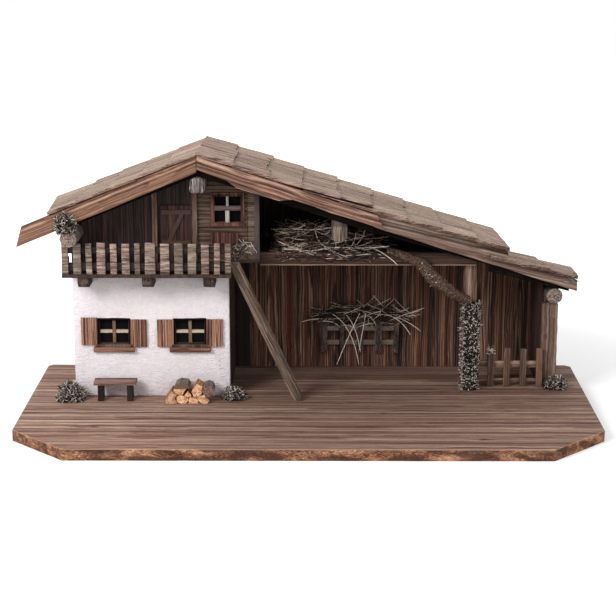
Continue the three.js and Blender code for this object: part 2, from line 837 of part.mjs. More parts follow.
// A bark covered limb that leans from the lichen against the front of the loft beam
const branchPoints = [[2, 9, 12], [-22, 33, 11.5], [-48, 58, 10], [-72, 71, 8.5], [-105, 82, 7], [-132, 90, 5.5]];

function branch() {
  const points = branchPoints.map(([x, z, r]) => [postX + x, loftBeamFront - r - fit, sleeveTop + z]);
  points[0][1] = loftBeamFront + 1;
  const body = limb(points, branchPoints.map(([, , r]) => r), 10);
  const foot = block(postX - 60, postX + 60, 0, postFront + 20, sleeveTop - 60, sleeveTop + fit);
  const post = block(postX - postSize / 2 - fit, postX + 60, postFront - fit, postFront + 60, 0, ridgeTop);
  add("branch", "bark", body.subtract(foot).subtract(post));
}

const picketFront = leanToPostFront - picketReach;

function fence() {
  const [y0, y1] = [picketFront + picketThickness, leanToPostFront];
  const left = sleeveX + postSize;
  const right = leanToPostX - postSize / 2;
  const pieces = fenceRailBottoms.map((rise, i) => {
    const bottom = boardTop + rise;
    return block(left, right, y0 - sunk, y1, bottom, bottom + fenceRailHeights[i]);
  });
  for (let i = 0; i < picketCount; i += 1) {
    const x = leanToPostX - picketEndGap - i * picketSpacing;
    const [x0, x1] = [x - picketWidth / 2, x + picketWidth / 2];
    const top = boardTop + picketHeight - (i % 2) * picketTip;
    const face = [[x0, boardTop], [x1, boardTop], [x1, top], [x, top + picketTip], [x0, top]];
    pieces.push(alongY(face, picketFront, y0));
  }
  add("picket_fence", "grey", join(pieces));
}

function ladder() {
  const topZ = floorTop + ladderRise;
  const footX = houseRight + ladderRun;
  const width = ladderRailWidth;
  const slope = (footX - balconyRight - fit) / (floorTop - boardTop);
  const edge = (z) => footX - slope * (z - boardTop);
  const side = [[edge(boardTop), boardTop], [edge(boardTop) + width, boardTop], [edge(topZ) + width, topZ], [edge(topZ), topZ]];
  const thick = ladderRailThickness;
  const near = houseFront - ladderSetback;
  const far = near + ladderWidth;
  const pieces = [alongY(side, near, near + thick), alongY(side, far, far + thick)];
  for (let i = 1; i <= ladderTreads; i += 1) {
    const z = boardTop + ((topZ - boardTop) * i) / (ladderTreads + 1);
    const [x0, x1] = [edge(z) + 2, edge(z) + width - 2];
    const [z0, z1] = [z - treadThickness / 2, z + treadThickness / 2];
    pieces.push(block(x0, x1, near + thick - sunk, far + sunk, z0, z1));
  }
  add("ladder", "grey", join(pieces));
}

// Hay rack
const rackBottom = boardTop + rackRise;
const rackFoot = backWallFront - fit - rackBoard;
const rackFace = (z) => rackFoot - (rackLean * (z - rackBottom)) / rackHeight;

function hayRack() {
  const top = rackBottom + rackHeight;
  const slant = (z0, z1, near, far) => [
    [rackFace(z0) + near, z0],
    [rackFace(z0) + far, z0],
    [rackFace(z1) + far, z1],
    [rackFace(z1) + near, z1],
  ];
  const pieces = [];
  const [widest] = rackBars;
  const step = (rackWidth - widest) / (rackBars.length - 1);
  rackBars.forEach((width, i) => {
    const x = rackLeft + i * step + (widest - width) / 2;
    pieces.push(alongX(slant(rackBottom, top, 0, rackBoard), x, x + width));
  });
  for (const rise of rackRails) {
    const z = rackBottom + rise;
    const strip = slant(z, z + rackRailHeight, rackBoard - sunk, rackBoard + 3);
    pieces.push(alongX(strip, rackLeft + 2, rackLeft + rackWidth - 4));
  }
  const [low, high] = [rackBottom + 6, top - rackCheekDrop];
  for (const x of [rackLeft + 3, rackLeft + rackWidth - 9]) {
    const cheek = [
      [rackFace(low) + rackBoard - sunk, low],
      [backWallFront - fit, low],
      [backWallFront - fit, high],
      [rackFace(high) + rackBoard - sunk, high],
    ];
    pieces.push(alongX(cheek, x, x + rackBoard));
  }
  add("hay_rack", "grey", join(pieces));
}

function rackHay() {
  const top = rackBottom + rackHeight;
  const [halfWidth, halfDepth, halfHeight] = rackHeap;
  const centreX = rackLeft + rackWidth / 2 + rackHeapShift;
  const centreY = backWallFront - halfDepth + fit;
  const heap = lump(centreX, centreY, top + 2, halfWidth, halfDepth, halfHeight, 2);
  const [x0, x1] = [boardLeft, boardRight];
  const keep = block(x0, x1, 0, backWallFront - fit, top - rackCheekDrop - 1, ridgeTop);
  const clear = 2 * fit;
  const front = alongX(
    [
      [0, rackBottom],
      [rackFace(rackBottom) + rackBoard + clear, rackBottom],
      [rackFace(top + clear) + rackBoard + clear, top + clear],
      [0, top + clear],
    ],
    x0,
    x1,
  );
  const cheekTop = top - rackCheekDrop + clear;
  const cheeks = block(rackLeft - 5, rackLeft + rackWidth + 5, 0, backWallFront, 0, cheekTop);
  add("rack_hay", "hay", heap.intersect(keep).subtract(front).subtract(cheeks));
}

function loftHay() {
  const y = loftBeamFront + loftHeapSetback;
  const [x0, x1] = loftHeapOffsets.map((offset) => cornerPostRight + offset);
  const [low, high] = loftHeapRises.map((rise) => loftTop + rise);
  const left = lump(x0, y, low, ...loftHeapLeft, 1);
  const right = lump(x1, y, high, ...loftHeapRight, 3);
  const bed = block(cornerPostRight, loftRight, 0, backWallFront, loftTop + fit, ridgeTop);
  const beam = block(boardLeft, boardRight, 0, loftBeamBack + fit, 0, loftBeamTop + fit);
  add("loft_hay", "hay", left.add(right).intersect(bed).subtract(beam).subtract(beamNotch("middle_beam")));
}

// Bench and split logs in front of the house
function bench() {
  const x0 = houseLeft + benchOffset;
  const x1 = x0 + benchWidth;
  const y0 = houseFront - benchReach;
  const y1 = y0 + benchDepth;
  const top = boardTop + benchHeight;
  const pieces = [block(x0, x1, y0, y1, top - benchTop, top)];
  for (const x of [x0 + 6, x1 - 6 - benchLegWidth]) {
    pieces.push(block(x, x + benchLegWidth, y0 + 3, y1 - 3, boardTop, top - benchTop + sunk));
  }
  add("bench", "brown", join(pieces));
}

// End faces of the split logs, from the left of the pile and up from the board, as shares of a log's width
const splitLogs = [
  [[0, 0], [1.85, 0], [1.85, 0.5], [1.5, 0.8], [1.9, 1.5], [1.1, 2.2], [0.05, 0.65]],
  [[1.8, 0.2], [2.6, 0], [3.3, 0], [3.78, 0.55], [3.55, 1.1], [2.4, 1.4], [1.8, 1.1]],
  [[3.75, 0], [5.3, 0], [5.3, 1.05], [3.9, 1.05], [3.7, 0.55]],
  [[5.1, 1.3], [5.4, 0.4], [6, 0], [6.7, 0], [7.1, 0.5], [6.3, 1.45]],
  [[1.3, 2.05], [1.8, 1.5], [2.7, 1.26], [3.3, 2.4], [4, 2.6], [3.6, 3.3], [2.5, 3.45], [1.7, 3.1]],
  [[2.85, 1], [4.15, 1], [4.15, 1.45], [3.6, 2.05]],
  [[4.25, 2], [4.65, 0.98], [5.8, 1.6], [6.05, 2.8], [5.1, 3.4]],
  circle(6.85, 2.05, 1.03, 9),
];

function logPile() {
  const left = houseLeft + logPileOffset;
  const pieces = splitLogs.map((face, i) => {
    const front = houseFront - logPileReach + (i % 3) * logStagger;
    const section = face.map(([x, z]) => [left + x * logWidth, boardTop + z * logWidth]);
    return alongY(section, front, front + logLength);
  });
  add("log_pile", "fresh", join(pieces));
}

// Lichen bushes: on the board they sit flat, on the house they hang at their seat
function bushes() {
  const [x0, x1] = [2 * boardLeft, 2 * boardRight];
  const floor = block(x0, x1, -boardDepth, boardDepth, boardTop + fit, ridgeTop);
  const open = block(x0, x1, -boardDepth, houseFront - fit, 0, ridgeTop);
  const onBoard = [
    ["lichen_house_left", houseLeft - 5, houseFront - 22, 28, 21, 40],
    ["lichen_house_right", houseRight + 7, houseFront - 17, 22, 15, 28],
    ["lichen_lean_to_post", leanToPostX + 12, leanToPostFront - 18, 23, 15, 30],
  ];
  onBoard.forEach(([name, x, y, rx, ry, rz], i) => {
    let bush = lump(x, y, boardTop, rx, ry, rz, i + 5).intersect(floor);
    if (y < houseFront) bush = bush.intersect(open);
    add(name, "lichen", bush);
  });
  const logTop = eaveLogZ + eaveLogRadius;
  const seat = block(x0, x1, -boardDepth, roofFront - shingleFrontLap - 2, logTop - 8, ridgeTop);
  const tuft = lump(eaveLogX - 4, roofFront - eaveLogReach + 6, logTop + 14, 21, 15, 23, 9);
  add("lichen_eave_log", "lichen", tuft.intersect(seat).subtract(beamNotch("eave_log_left")));
  const side = block(balconyRight + fit, x1, -boardDepth, boardDepth, 0, ridgeTop);
  const ladderRoom = block(x0, x1, houseFront - ladderSetback - 1, boardDepth, 0, floorTop + ladderRise + 1);
  const hanging = lump(balconyRight + 10, balconyFront + 10, floorTop + 33, 15, 13, 17, 4);
  add("lichen_balcony", "lichen", hanging.intersect(side).subtract(ladderRoom));
}

// Decks with a rafter under their front and back edges
function leftDeck() {
  const [x0, x1] = [leftEave, ridgeX - fit / 2];
  const [y0, y1] = [roofFront + fit, roofBack];
  const plan = [[x0, y0], [x1, y0], [x1, y1], [x0 + leftEaveSlant, y1]];
  const panel = raised(plan, mainRoof(deckThickness), mainRoof(0));
  const rafters = [y0, y1 - rafterThickness].map((y) =>
    raised(rectangle(x0 + 20, x1, y, y + rafterThickness), mainRoof(rafterUnderside), mainRoof(deckThickness - sunk)),
  );
  add("roof_deck_left", "roof", join([panel, ...rafters]));
}

function rightDeck() {
  const x0 = ridgeX + fit / 2;
  const kink = frontBargeEnd - rearBargeLap - fit;
  const [y0, y1] = [roofFront + fit, roofBack];
  const front = [[x0, y0], [kink, y0], [kink, behindRearBarge(kink)]];
  const panelPlan = [...front, [mainEave, behindRearBarge(mainEave)], [mainEave + mainEaveSlant, y1], [x0, y1]];
  const stop = mainEave - rafterSetback;
  const wide = rafterThickness;
  const rafterPlan = [
    ...front,
    [stop, behindRearBarge(stop)],
    [stop, behindRearBarge(stop) + wide],
    [kink - wide, behindRearBarge(kink) + wide],
    [kink - wide, y0 + wide],
    [x0, y0 + wide],
  ];
  const pieces = [raised(panelPlan, mainRoof(deckThickness), mainRoof(0))];
  for (const plan of [rafterPlan, rectangle(x0, stop, y1 - wide, y1)]) {
    pieces.push(raised(plan, mainRoof(rafterUnderside), mainRoof(deckThickness - sunk)));
  }
  add("roof_deck_right", "roof", join(pieces));
}

function leanToDeck() {
  const [x0, x1] = [leanToStart, leanToEnd];
  const y1 = roofBack;
  const edge = behindRearBarge;
  const wide = rafterThickness;
  const panelPlan = [[x0, edge(x0)], [x1, edge(x1)], [x1 + leanToEndSlant, y1], [x0, y1]];
  const stop = x1 - 8;
  const rafterPlan = [[x0, edge(x0)], [stop, edge(stop)], [stop, edge(stop) + wide], [x0, edge(x0) + wide]];
  const pieces = [raised(panelPlan, leanToRoof(deckThickness), leanToRoof(0))];
  for (const plan of [rafterPlan, rectangle(x0, stop, y1 - wide, y1)]) {
    pieces.push(raised(plan, leanToRoof(deckThickness + leanToRafterDepth), leanToRoof(deckThickness - sunk)));
  }
  add("roof_deck_lean_to", "roof", join(pieces));
}

// Courses of shingles across one slope. Each shingle is thin at its head and thick at its butt.
function shingleCourses(roof, size, from, to, slant, courses, seed) {
  const vary = scatter(seed);
  const step = (to - from) / courses;
  const down = Math.sign(step);
  const pieces = [];
  for (let k = 0; k < courses; k += 1) {
    const head = from + k * step - (k === 0 ? 0 : down * courseLap);
    const butt = from + (k + 1) * step;
    const across = 3 + (k % 2);
    const lap = shingleFrontLap + vary(1);
    const line = (x, share) => THREE.MathUtils.lerp(roofEdge(x) - lap, roofBack, share);
    const skewed = (x, share) => [x + (k === courses - 1 ? slant * share : 0), line(x, share)];
    let near = 0;
    for (let i = 0; i < across; i += 1) {
      const far = i === across - 1 ? 1 : (i + 1 + vary(0.15)) / across;
      const tip = butt + (k === courses - 1 ? 0 : vary(shingleJitter));
      const thick = size.butt + vary(size.uneven);
      const share = (x) => (x - head) / (tip - head);
      const top = (x, y) => roof(-fit - THREE.MathUtils.lerp(size.head, thick, share(x)))(x, y);
      const corners = [
        [head, line(head, near)],
        skewed(tip, near),
        skewed(tip, far),
        [head, line(head, far)],
      ];
      pieces.push(raised(down > 0 ? corners : corners.reverse(), roof(-fit), top));
      near = far;
    }
  }
  return join(pieces);
}

const roofEdge = (x) => (x <= frontBargeEnd - rearBargeLap ? roofFront : skewLine(x));

function shingles() {
  const covers = [
    ["shingles_left", mainRoof, leftShingle, ridgeX - fit / 2, leftEave - 1, leftEaveSlant, leftCourses, 3],
    ["shingles_right", mainRoof, rightShingle, ridgeX + fit / 2, mainEave + 1, mainEaveSlant, rightCourses, 5],
    ["shingles_lean_to", leanToRoof, rightShingle, leanToStart, leanToEnd + 3, leanToEndSlant, leanToCourses, 8],
  ];
  const [a, b] = [leanToStart - 1, mainEave + fit];
  const bargeRoom = [[a, skewLine(a) - 20], [b, skewLine(b) - 20], [b, behindRearBarge(b)], [a, behindRearBarge(a)]];
  for (const [name, roof, ...layout] of covers) {
    let cover = shingleCourses(roof, ...layout);
    if (roof === leanToRoof) cover = cover.subtract(raised(bargeRoom, roof(20), roof(-20)));
    add(name, "roof", cover);
  }
}

// Barge boards along the front edges of the roof
function frontBarges() {
  const top = (x) => mainRoof(0)(x, roofFront);
  const leftEnd = leftEave - bargeTail;
  const left = [
    [leftEnd, top(leftEnd)],
    [leftEnd - bargeEndSlant, top(leftEnd) - bargeHeightLeftEnd],
    [ridgeX - fit / 2, ridgeTop - bargeHeightRidge],
    [ridgeX - fit / 2, ridgeTop],
  ];
  const start = ridgeX + fit / 2;
  const end = frontBargeEnd + bargeEndSlant;
  const lowerEdge = rightBargeEdge.map(([share, height]) => {
    const x = THREE.MathUtils.lerp(start, end, share);
    return [x, top(x) - height];
  });
  const right = [[start, ridgeTop], ...lowerEdge, [frontBargeEnd, top(frontBargeEnd)]];
  add("barge_board_left", "barge", alongY(left, roofFront - bargeThickness, roofFront));
  add("barge_board_right", "barge", alongY(right, roofFront - bargeThickness, roofFront));
}

function rearBarge() {
  const x0 = frontBargeEnd - rearBargeLap;
  const y0 = Math.max(roofFront + fit, skewLine(x0));
  const back = (x) => behindRearBarge(x) - fit;
  const start = mainRoof(0)(x0, y0) - rearBargeHeight;
  const x1 = leanToEnd + rearBargeOver;
  const end = leanToRoof(0)(x1, skewLine(x1)) - rearBargeFoot;
  const bottom = (x) => THREE.MathUtils.mapLinear(x, x0, x1, start, end);
  const upper = [[x0, y0], [frontBargeEnd, y0], [mainEave, skewLine(mainEave)], [mainEave, back(mainEave)], [x0, back(x0)]];
  const [a, b] = [mainEave - sunk, x1];
  const lower = [[a, skewLine(a)], [b, skewLine(b)], [b, back(b)], [a, back(a)]];
  const board = raised(upper, bottom, mainRoof(0)).add(raised(lower, bottom, leanToRoof(0)));
  add("barge_board_rear", "barge", board);
}

baseBoard();
plasterWalls();
groundFloorWindows();
upperFloor();
gableWall();
logWall();
atticWindow();
flowerBox();
balconyDoor();
doorPosts();
upperCornerPost();
upperSideWalls();
balconyRailing();
beamEnds();
backWall();
loft();
posts();
lichenSleeve();
branch();
fence();
ladder();
hayRack();
rackHay();
loftHay();
bench();
logPile();
bushes();
roofBeamNodes();
frontBarges();
rearBarge();
leftDeck();
rightDeck();
leanToDeck();
shingles();

export default stable;
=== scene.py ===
# Nativity stable in its finishes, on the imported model's frame.
# Pieces are drawn in millimetres and brought to metres when they are finished.
import math
import random

import bmesh
import bpy
from mathutils import Matrix, Vector, noise


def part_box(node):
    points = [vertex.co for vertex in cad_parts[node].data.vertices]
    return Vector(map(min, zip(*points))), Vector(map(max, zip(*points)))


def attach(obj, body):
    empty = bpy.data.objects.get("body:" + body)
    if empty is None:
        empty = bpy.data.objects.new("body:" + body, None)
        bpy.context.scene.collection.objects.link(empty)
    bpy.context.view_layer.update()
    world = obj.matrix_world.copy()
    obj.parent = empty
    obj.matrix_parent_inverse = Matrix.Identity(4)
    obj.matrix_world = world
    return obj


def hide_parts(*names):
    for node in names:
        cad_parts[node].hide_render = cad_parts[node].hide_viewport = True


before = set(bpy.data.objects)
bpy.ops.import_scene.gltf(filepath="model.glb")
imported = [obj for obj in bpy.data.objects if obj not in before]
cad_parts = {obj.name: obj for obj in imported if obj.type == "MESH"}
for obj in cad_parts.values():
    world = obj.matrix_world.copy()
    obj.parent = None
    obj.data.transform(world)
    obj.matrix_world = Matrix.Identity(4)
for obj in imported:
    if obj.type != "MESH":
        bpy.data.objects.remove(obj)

noise.seed_set(1)  # noise vectors differ from run to run without it
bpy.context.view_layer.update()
print("frame loaded:", len(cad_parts), "nodes")


def lerp(a, b, share):
    return a + (b - a) * share


def tint(shade):
    # a screen colour, written as on the web, made linear
    parts = [int(shade[k:k + 2], 16) / 255 for k in (0, 2, 4)]
    return tuple(((c + 0.055) / 1.055) ** 2.4 if c > 0.04 else c / 12.92 for c in parts) + (1.0,)


def evenStops(shades):
    # evenly spaced stops for a colour ramp
    colors = shades.split()
    return [(i / (len(colors) - 1), tint(color)) for i, color in enumerate(colors)]


def nodeSum(operation):
    return lambda wire, other: wire.finish.maths(operation, wire, other)


def turnedSum(operation):
    return lambda wire, other: wire.finish.maths(operation, other, wire)


class Wire:
    # one socket of a finish; sums written with it add Math nodes
    def __init__(self, finish, socket):
        self.finish = finish
        self.socket = socket

    __add__, __radd__ = nodeSum("ADD"), turnedSum("ADD")
    __sub__, __rsub__ = nodeSum("SUBTRACT"), turnedSum("SUBTRACT")
    __mul__, __truediv__, __pow__ = nodeSum("MULTIPLY"), nodeSum("DIVIDE"), nodeSum("POWER")

    def __abs__(self):
        return self.finish.maths("ABSOLUTE", self)


class Finish:
    def __init__(self, name, roughness=0.8, specular=0.3):
        self.material = bpy.data.materials.new(name)
        self.material.use_nodes = True
        self.tree = self.material.node_tree
        self.shader = self.tree.nodes["Principled BSDF"]
        self.shader.inputs["Roughness"].default_value = roughness
        self.shader.inputs["Specular IOR Level"].default_value = specular
        place = self.node("ShaderNodeTexCoord", output="Object")
        self.place = self.node("ShaderNodeVectorMath", {"operation": "SCALE"}, {0: place, "Scale": 1000.0})
        self.x, self.y, self.z = [
            self.node("ShaderNodeSeparateXYZ", inputs={0: self.place}, output=i) for i in range(3)]

    def node(self, kind, settings=None, inputs=None, output=0):
        made = self.tree.nodes.new(kind)
        for key, value in (settings or {}).items():
            if key != "stops":
                setattr(made, key, value)
                continue
            ramp = made.color_ramp
            while len(ramp.elements) < len(value):
                ramp.elements.new(0.5)
            for stop, (place, color) in zip(ramp.elements, value):
                stop.position = place
                stop.color = color
        for key, value in (inputs or {}).items():
            if isinstance(value, Wire):
                self.tree.links.new(value.socket, made.inputs[key])
            else:
                made.inputs[key].default_value = value
        return Wire(self, made.outputs[output])

    def maths(self, operation, a, b=0.0):
        return self.node("ShaderNodeMath", {"operation": operation}, {0: a, 1: b})

    def vector(self, x, y, z):
        return self.node("ShaderNodeCombineXYZ", inputs={0: x, 1: y, 2: z})

    def cloud(self, vector, scale=1.0, detail=2.0, rough=0.55, distortion=0.0):
        values = {"Vector": vector, "Scale": scale, "Detail": detail, "Roughness": rough, "Distortion": distortion}
        return self.node("ShaderNodeTexNoise", inputs=values)

    def luck(self, value):
        return self.node("ShaderNodeTexWhiteNoise", {"noise_dimensions": "1D"}, {"W": value})

    def span(self, value, low, high, start=0.0, end=1.0):
        values = {0: value, 1: low, 2: high, 3: start, 4: end}
        return self.node("ShaderNodeMapRange", {"interpolation_type": "SMOOTHSTEP"}, values)

    def ramp(self, value, stops):
        return self.node("ShaderNodeValToRGB", {"stops": stops}, {0: value})

    def mix(self, share, a, b):
        return self.node("ShaderNodeMix", {"data_type": "RGBA"}, {0: share, 6: a, 7: b}, 2)

    def shade(self, color, amount):
        # a grey value that darkens or lightens a colour
        return self.node("ShaderNodeVectorMath", {"operation": "SCALE"}, {0: color, "Scale": amount})

    def colour(self, value):
        self.wire(value, "Base Color")

    def wire(self, value, name):
        self.tree.links.new(value.socket, self.shader.inputs[name])

    def relief(self, height, strength, distance=0.0004):
        bump = self.node("ShaderNodeBump", inputs={"Height": height, "Strength": strength, "Distance": distance})
        self.wire(bump, "Normal")


# thin dark lines on a light ground, for drying cracks, each with a lighter line beside it, a painted highlight on
# the crack's edge
checkStops = [(place, (grey, grey, grey, 1.0)) for place, grey in (
    (0.3, 0.8), (0.385, 0.82), (0.402, 0.42), (0.42, 0.88), (0.458, 0.8), (0.474, 0.26),
    (0.492, 0.26), (0.512, 0.98), (0.55, 0.8), (0.572, 0.42), (0.59, 0.94), (0.64, 0.8))]


def wood(name, shades, along="x", tilt=0.0, plank=None, toned=False, fibre=0.8, streak=0.1, stretch=0.035,
         rings=0.0, ringPitch=5.0, stain=None, stainShare=0.5, spread=0.25, relief=0.35, roughness=0.78, seam=None,
         check=0.0, checkScale=0.11, other=None, knots=(), paint=None, skew=0.0, bend=6.0):
    # shades run from the dark lines to the light wood; stain is a second colour in long patches, other
    # a third one on single boards, check the strength of the drying cracks and their painted highlights,
    # plank the axis, start and width of boards side by side, and paint a last change to the colour
    f = Finish(name, roughness)
    x, y, z = f.x, f.y, f.z
    if skew:
        y = y - x * skew
    if tilt:
        turn = math.radians(tilt)
        x, z = x * math.cos(turn) - z * math.sin(turn), x * math.sin(turn) + z * math.cos(turn)
    a, b, c = {"x": (x, y, z), "y": (y, x, z), "z": (z, x, y)}[along]
    knotShare = None
    for ka, kb, size in knots:
        far = f.maths("SQRT", ((a - ka) * 0.4) ** 2 + (b - kb) ** 2)
        b = b - (b - kb) * (f.span(far, size * 3.5, size * 0.6) * 0.8)
        dark = f.span(far, size, size * 0.3)
        knotShare = dark if knotShare is None else f.maths("MAXIMUM", knotShare, dark)
    middle, chance = b, None
    if plank:
        axis, start, pitch = plank
        across = {"x": x, "y": y, "z": z}[axis]
        index = f.maths("FLOOR", (across - start) / pitch)
        chance = f.luck(index)
        middle = across - start - index * pitch - pitch * 0.5 + (chance - 0.5) * pitch
    if toned:
        chance = f.node("ShaderNodeAttribute", {"attribute_name": "tone"}, output="Fac")
        middle = b + c * 0.6 + chance * 60
    if chance:
        a = a + chance * 830
        b = b + chance * 170
    wander = f.cloud(f.vector(a * 0.012, b * 0.022, c * 0.022), detail=1.0) - 0.5
    b, c = b + wander * bend, c + wander * bend
    lines = f.cloud(f.vector(a * stretch, b, c), fibre, 4.0, 0.65)
    bands = f.cloud(f.vector(a * stretch * 1.3, b, c), streak, 2.0, 0.5)
    tone = f.span(lines * 0.6 + bands * 0.4, 0.36, 0.64)
    if rings:
        far = (middle + wander * 14) ** 2 + ((a - 300) * 0.03) ** 2
        arcs = f.maths("SINE", f.maths("SQRT", far) * (6.28 / ringPitch))
        tone = tone - f.span(arcs, 0.3, 1.0) * rings
    tone = f.maths("MAXIMUM", tone, 0.0)
    color = f.ramp(tone, evenStops(shades))
    if stain:
        patch = f.span(f.cloud(f.vector(a * stretch * 0.8 + 31, b + 57, c), streak * 0.8), 0.46, 0.62)
        color = f.mix(patch * stainShare, color, tint(stain))
    if other and chance:
        color = f.mix(f.span(f.luck(chance * 53), 0.45, 0.8) * 0.5, color, tint(other))
    if check:
        split = f.cloud(f.vector(a * stretch * 0.7 + 11, b + 23, c), checkScale, 2.0, 0.5)
        marks = f.ramp(split, checkStops) * 1.25
        color = f.shade(color, marks * check + (1 - check))
    dirt = f.span(f.cloud(f.vector(x, y, z), 0.2, 3.0, 0.6), 0.3, 0.75, 0.9, 1.06)
    if chance:
        dirt = dirt * (1.0 - spread * 0.5 + f.luck(chance * 91) * spread)
    color = f.shade(color, dirt)
    if knotShare:
        color = f.mix(knotShare * 0.85, color, tint("2e1e1a"))
    if seam:
        axis, start, pitch, width, seamColor = seam
        across = {"x": f.x, "y": f.y, "z": f.z}[axis]
        edge = f.maths("PINGPONG", across - start, pitch)
        color = f.mix(f.span(edge, width, width * 0.3) * 0.7, color, seamColor)
    if paint:
        color = paint(f, color)
    f.colour(color)
    f.wire(f.span(lines, 0.3, 0.7, min(1.0, roughness + 0.12), roughness - 0.08), "Roughness")
    height = lines * 0.7 + tone * 0.3
    f.relief(height + marks * check * 0.5 if check else height, relief)
    return f


def upright(name, shades, **rest):
    return wood(name, shades, along="z", **rest)


# where painted shade falls on the back wall: the corner by the house, the loft's heights and end, and the wall's
# face
shadeBounds = {"corner": (-99.0, -103.0), "loftHeight": (240.0, 262.0), "loftEnd": (262.0, 240.0), "face": (221.0, 217.0)}


def paintedShade(f, below):
    # painted shade: darkens the barn's back wall in the corner by the house and under its loft, on the side seen
    # from the front
    corner = f.span(f.x, *shadeBounds["corner"]) * 0.93
    loft = f.span(f.z, *shadeBounds["loftHeight"]) * f.span(f.x, *shadeBounds["loftEnd"]) * 0.8
    inside = f.span(f.y, *shadeBounds["face"])
    return f.mix(f.maths("MAXIMUM", corner, loft) * inside, below, tint("0e0908"))


def paintedLightEnds(f, below):
    # painted light: the board's top is lighter at its left end and darker in the middle, as the light falls, and a
    # little lighter again at the right end
    return f.shade(below, f.span(f.x, -330.0, 0.0, 1.14, 0.84) + f.span(f.x, 100.0, 400.0) * 0.1)


def greyStrip(f, below):
    # the corner post's right edge
    strip = f.ramp(f.cloud(f.vector(f.x, f.y, f.z * 0.12), 0.2, 3.0), evenStops("261e1e 483e3c 64584a"))
    return f.mix(f.span(f.x, -86.6, -85.4), below, strip)


def paleSlats(f, below):
    # the rack's slats stand before its dark board
    slats = f.ramp(f.cloud(f.place, 0.5), evenStops("3c302c 807068 b0a29a"))
    return f.mix(f.span(f.maths("PINGPONG", f.x - 25.0, 15.5), 4.4, 5.4) * 0.65, below, slats)


def barkRim(f, below):
    rim = f.span(f.z + f.cloud(f.place, 0.3) * 3, 42.6, 44.4) * f.span(f.x, -187.0, -189.0)
    return f.mix(rim, below, tint("685448"))


boardTop = wood(
    "board_top", "4e322b 7e6154 9c8070 b8a08c", stretch=0.006, streak=0.11, fibre=0.42, stain="70443c",
    stainShare=0.6, relief=0.3, check=0.65, checkScale=0.18,
    knots=[(-327, -117, 4.0), (118, -52, 3.5), (262, -172, 4.0)], paint=paintedLightEnds)
boardEdge = wood(
    "board_edge", "382016 704632 9e6a4c c89c7a", stretch=0.3, streak=0.08, stain="46281c", stainShare=0.85,
    relief=0.8, check=0.5, checkScale=0.16,
    paint=lambda f, below: f.mix(f.span(f.z, 16.6, 17.6) * 0.55, below, tint("ceb096")))
shutterWood = upright(
    "shutter_wood", "341e17 6e4a39 9c705a c8a088", fibre=0.6, stretch=0.006, streak=0.3, relief=0.4, check=1.0,
    checkScale=0.3, bend=3.0)
sillWood = wood("sill_wood", "4a2e22 7e5844 ac8066", stain="54362a", check=0.7)
darkWood = upright(
    "dark_wood", "140d0c 2c1e1b 46322b", fibre=0.6, stretch=0.012, plank=("x", -377.0, 16.7), spread=0.6,
    relief=0.5, check=0.6)
plainDark = wood("plain_dark", "1e1411 3a2822 543e34", along="y", relief=0.5, check=0.6)
# near black boards, painted shade for the balcony railing's rails seen in the gaps between its slats
railShadeWood = wood("rail_shade_wood", "0e0a09 201613 322520", relief=0.5, check=0.6)
beamFront = upright("beam_front", "16100e 3c2e28 6c5a51", fibre=0.4, stretch=0.3, relief=0.6)
logTan = wood(
    "log_tan", "281f1a 544236 7e6856", plank=("z", 231.0, 7.0), stain="543a2e", spread=0.55, stretch=0.02,
    check=0.7, checkScale=0.2)
doorWood = upright(
    "door_wood", "1c100e 361f1a 4e3129", fibre=0.6, stretch=0.012, spread=0.4, plank=("x", -234.3, 12.5), check=0.6,
    paint=lambda f, below: f.mix(f.span(f.y, 41.0, 40.6), below, tint("442e27")))
redWood = upright(
    "red_wood", "2c1915 503028 704a3e", fibre=0.6, stretch=0.012, spread=0.4, plank=("x", -152.0, 4.8), check=0.6)
frameWood = upright("frame_wood", "281613 502e26 7c5246", stretch=0.02, check=0.6)
barWood = wood("bar_wood", "322424 564444 705e5c")
paleBar = upright("pale_bar", "78706a a8a098 ccc4be", stretch=0.05)
jambWood = upright("jamb_wood", "2c1e19 564036 7c6254", stretch=0.012, check=0.7)
cornerWood = wood(
    "corner_wood", "2e241e 5c4a3e 86705e", plank=("z", 231.0, 7.0), spread=0.5, stretch=0.02, check=0.7,
    checkScale=0.2, paint=greyStrip)
railWood = wood(
    "rail_wood", "342722 6c584e 968072 b8a696", toned=True, stretch=0.08, fibre=0.4, streak=0.22, spread=0.45,
    stain="846262", stainShare=0.4, check=1.0, checkScale=0.34, other="6c6658")
backWood = upright(
    "back_wood", "160d0b 483026 725444 a88872", plank=("x", -377.0, 50.65), fibre=0.55, streak=0.12, stretch=0.003,
    rings=0.5, ringPitch=3.6, spread=0.35, stain="62301e", relief=0.6, check=0.9, checkScale=0.26, bend=4.0,
    seam=("x", -377.0, 50.65, 0.9, tint("b89a82")), paint=paintedShade)
postWood = upright("post_wood", "382721 644c42 846a5e a08878", stretch=0.012, fibre=0.5, relief=0.5, check=0.8)
leanPostWood = upright(
    "lean_to_post_wood", "281c18 665046 967e6f", stretch=0.003, fibre=0.5, stain="70543e", stainShare=0.4,
    relief=0.6, check=1.0, checkScale=0.3, bend=4.0,
    paint=lambda f, below: f.mix(f.span(f.x, 381.6, 380.6) * 0.85, below, tint("22120e")))
barnSideWood = upright(
    "barn_side_wood", "180e0c 3a241d 583a2e", plank=("y", 127.0, 27.8), stretch=0.012, relief=0.5, check=0.8)
beamWood = wood(
    "beam_wood", "1e1512 423028 685244", stretch=0.012, stain="402620", relief=0.5, check=0.8,
    paint=lambda f, below: f.mix(f.span(f.z, 232.4, 230.9) * 0.8, below, tint("aa8e78")))
